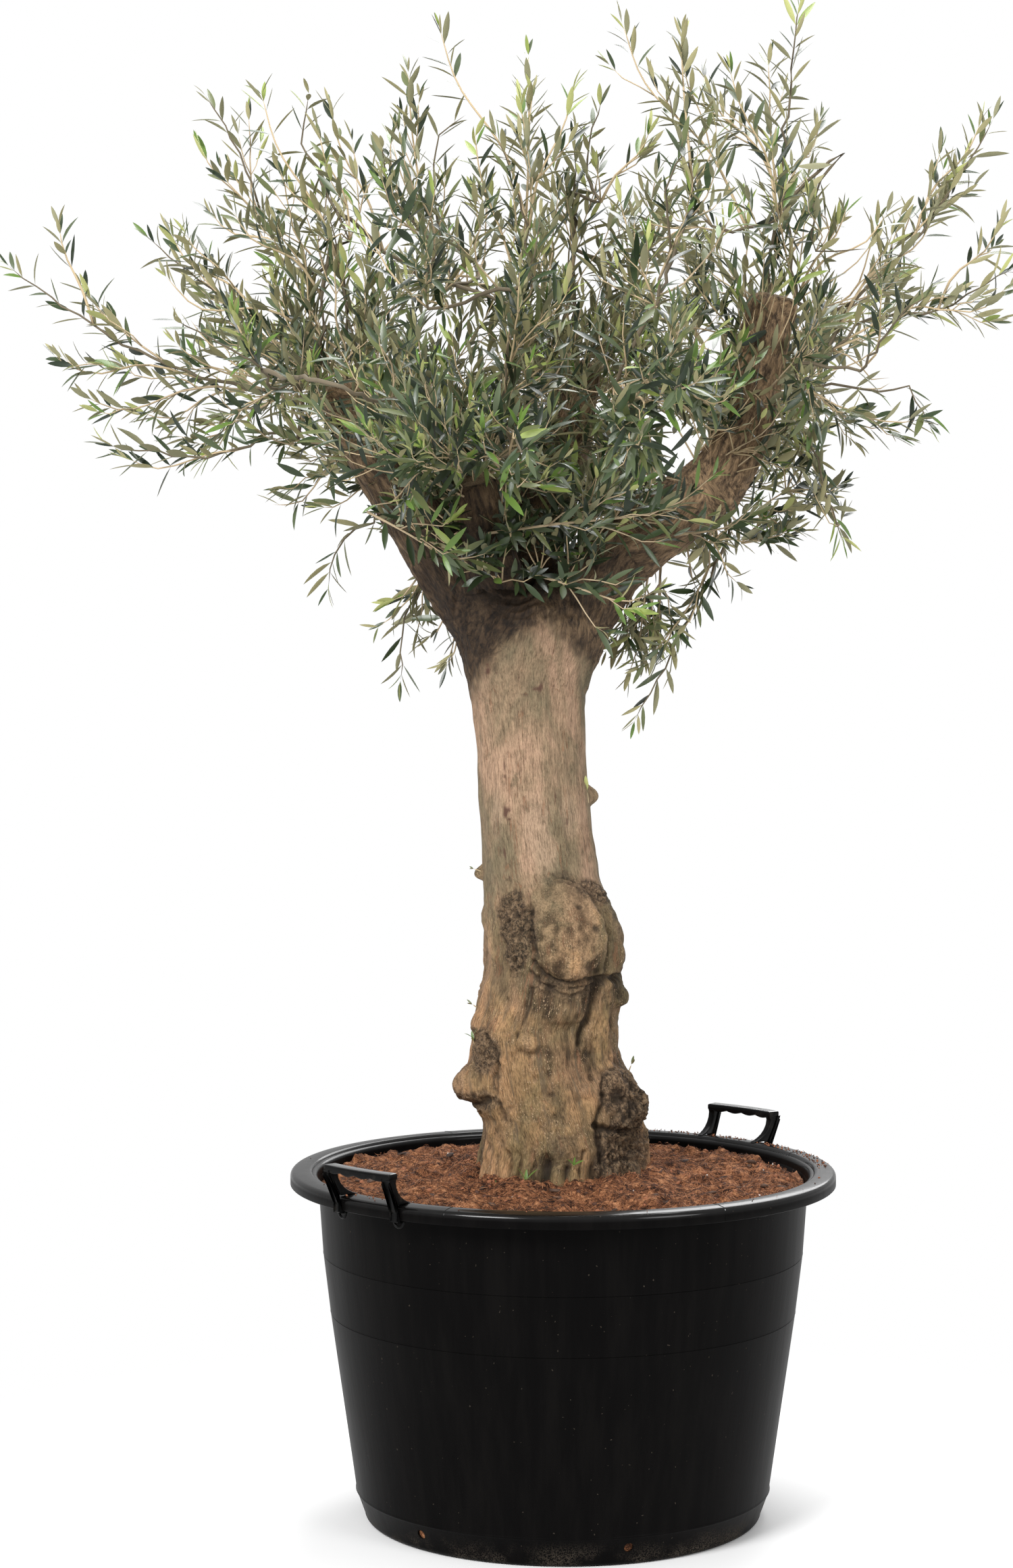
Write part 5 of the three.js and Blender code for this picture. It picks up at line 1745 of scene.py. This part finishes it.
# The leaf's own shape, a unit long, pointing along X with its face up: rows of a left edge, a midrib and a
# right edge, with a second midrib underneath.
rows = len(LEAF_STATIONS)
leaf_template = []
for station, width in zip(LEAF_STATIONS, LEAF_WIDTHS):
    half = width * LEAF_SLIM / 2
    droop_at = -0.10 * station ** 2
    leaf_template.append((station, half, droop_at + LEAF_FOLD * half))
    leaf_template.append((station, 0.0, droop_at))
    leaf_template.append((station, -half, droop_at + LEAF_FOLD * half))
    leaf_template.append((station, 0.0, droop_at - LEAF_THICK * min(1, 2 * width)))
leaf_template = np.array(leaf_template)
leaf_faces = []
for row in range(rows - 1):
    low, high = 4 * row, 4 * row + 4
    left, rib, right, below = range(4)
    for one, two in ((left, rib), (rib, right), (right, below), (below, left)):
        leaf_faces += [(low + two, high + two, high + one), (low + two, high + one, low + one)]
# The first and the last row are single points, so the faces that would have no width are left out.
tip_row = 4 * rows - 4
weld = {index: 0 if index < 4 else min(index, tip_row) for index in range(4 * rows)}
leaf_faces = [tuple(weld[index] for index in face) for face in leaf_faces]
upper_side = [(n // 4) % 2 == 0 for n, face in enumerate(leaf_faces)]
keep = [n for n, face in enumerate(leaf_faces) if len(set(face)) == 3]
used = sorted({index for n in keep for index in leaf_faces[n]})
renamed = {index: n for n, index in enumerate(used)}
leaf_template = leaf_template[used]
upper_side = np.array([upper_side[n] for n in keep])
leaf_faces = [tuple(renamed[index] for index in leaf_faces[n]) for n in keep]

leaves = {node: [] for node in MASS_NODES}
for branch in branches:
    line, node, order = branch["line"], branch["mass"], branch["order"]
    broad = 1.35 if order == 3 else 1.0
    run = np.concatenate([[0], np.cumsum(np.linalg.norm(np.diff(line, axis=0), axis=1))])
    length = run[-1]
    youth = luck.uniform()
    spacing = PAIR_SPACING * luck.uniform(0.85, 1.2) * (0.62 if order == 3 else 1.0)
    turn = luck.uniform(0, math.tau)
    place = length
    age = 0
    while place > branch["bare"]:
        spot, ahead, behind = [
            np.array([np.interp(at, run, line[:, axis]) for axis in range(3)])
            for at in (place, place + 0.01, place - 0.01)
        ]
        along = unit(ahead - behind)
        side = unit(np.cross(along, UP + 0.011))
        other = np.cross(along, side)
        young = max(0.0, 1 - age / 3)
        spread = math.radians(18 + 28 * (1 - young) + luck.normal(0, 8))
        for half in (0, math.pi):
            if luck.uniform() < 0.06 + 0.10 * (order == 0):
                continue
            angle = turn + half + luck.normal(0, 0.25)
            out = side * math.cos(angle) + other * math.sin(angle)
            way = unit(along * math.cos(spread) + out * math.sin(spread) + UP * luck.normal(0.06, 0.10))
            face = along * 0.52 + UP * 0.36 + unit(spot - HEART) * 0.50 + luck.normal(0, 0.25, 3)
            size = luck.uniform(*LEAF_LENGTH) * (0.62 + 0.38 * min(1, age / 2.5))
            size *= 0.8 if order == 3 else 1.0
            if order == 3:
                tone = luck.choice([0, 1, 2, 4], p=[0.45, 0.36, 0.14, 0.05])
            elif youth > 0.88 and age < 4:
                tone = luck.choice([4, 5], p=[0.7, 0.3])
            elif young > 0.3 and luck.uniform() < 0.30:
                tone = luck.choice([3, 4, 5], p=[0.55, 0.32, 0.13])
            else:
                tone = luck.choice(4, p=[0.30, 0.34, 0.22, 0.14])
            bare = bares_wood(spot + way * size * 0.5)
            hides = luck.uniform() < bare and (order < 3 or bare > 0.96)
            left_out = age % 2 == 1 and in_opening(spot, SPARSE)
            if not hides and not left_out and not in_opening(spot + way * size * 0.6):
                leaves[node].append((spot, way, face, size, int(tone), broad))
        turn += math.pi / 2 + luck.normal(0, 0.15)
        place -= spacing * (0.55 + 0.45 * min(1, age / 3)) * luck.uniform(0.85, 1.15)
        age += 1


def foliage(name, chosen, nodes=()):
    """One mesh of leaves: each one's foot, way, upward face, length, tone and breadth."""
    foot, way, face, length, tone, broad = [np.array(column) for column in zip(*chosen)]
    across = unit(np.cross(face, way))
    face = np.cross(way, across)
    slim = luck.uniform(0.85, 1.2, (len(chosen), 1)) * broad[:, None]
    curl = luck.normal(0.0, 0.10, (len(chosen), 1))
    x = leaf_template[None, :, 0] * length[:, None]
    y = leaf_template[None, :, 1] * length[:, None] * slim
    z = (leaf_template[None, :, 2] + curl * leaf_template[None, :, 0] ** 2) * length[:, None]
    points = foot[:, None] + x[..., None] * way[:, None] + y[..., None] * across[:, None]
    points += z[..., None] * face[:, None]
    # A leaf that would pass the CAD model's box by more than its margin is made smaller, so that it fits.
    reach = points - foot[:, None]
    room_above = np.array(cad_high) + LEAF_MARGIN - foot
    room_below = foot - np.array(cad_low) + LEAF_MARGIN
    room = np.where(reach > 0, room_above[:, None], room_below[:, None])
    fit = np.minimum(1, (room / (np.abs(reach) + 1e-9)).min(axis=(1, 2)))
    points = foot[:, None] + reach * fit[:, None, None]
    under = np.array([UNDER[t] for t in tone]) + len(upper_tones)
    tones = np.where(upper_side[None], tone[:, None], under[:, None])
    piece = joined(name, points, leaf_faces, tones, upper_tones + under_tones)
    piece.data.set_sharp_from_angle(angle=math.radians(50))
    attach(piece, "root")
    if nodes:
        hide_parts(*nodes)


for group in ("core", "left", "right", "top", "front", "back"):
    nodes = [node for node in MASS_NODES if node.startswith(group)]
    foliage("leaves_" + group, [leaf for node in nodes for leaf in leaves[node]], nodes)

# Young shoots low on the stem: three by its toes, and buds and single leaves on its knobs and stubs.
SPROUTS = [  # foot, way, how long, pairs of leaves, leaf length
    ((-0.066, -0.15, 0.628), (0.1, -0.45, 1), 0.018, 2, 0.034),
    ((0.013, -0.15, 0.664), (0.15, -0.75, 0.8), 0.012, 2, 0.024),
    ((-0.124, -0.128, 0.622), (-0.25, -0.55, 0.9), 0.01, 1, 0.016),
    ((-0.16, -0.045, 0.872), (-0.25, -0.45, 1), 0.014, 2, 0.022),
    ((0.052, -0.03, 1.325), (-0.1, -0.1, 1), 0.012, 1, 0.034),
    ((-0.15, -0.005, 1.188), (-1, -0.1, 0.35), 0.012, 1, 0.01),
    ((-0.166, -0.02, 0.94), (-0.9, -0.2, 0.6), 0.01, 1, 0.014),
    ((0.13, -0.02, 0.84), (0.35, -0.2, 1), 0.012, 1, 0.018),
]
sprout_leaves, sprout_stems = [], []
for foot, way, reach, pairs, size in SPROUTS:
    foot, way = moved[np.linalg.norm(moved - foot, axis=1).argmin()], unit(np.array(way))
    side = unit(np.cross(way, [0.0, 1.0, 0.3]))
    line = curve_through([foot - way * 0.01, foot + way * reach * 0.5, foot + way * reach], 0.004)
    sprout_stems.append({"line": line, "radii": np.linspace(0.0016, 0.0008, len(line)), "tone": 0})
    for pair in range(pairs):
        spot = foot + way * reach * (pair + 1) / pairs
        other = np.cross(way, side)
        out = side if pair % 2 else other
        for half in (1, -1):
            leaf_way, leaf_face = unit(way + out * half * 0.55), way + UP * 0.3 - out * half * 0.4
            tone = 4 if size > 0.02 else 3
            sprout_leaves.append((spot, leaf_way, leaf_face, size * luck.uniform(0.8, 1.1), tone, 1.3))
foliage("sprout_leaves", sprout_leaves)
tubes("sprout_stems", sprout_stems, 5, *twig_finishes)
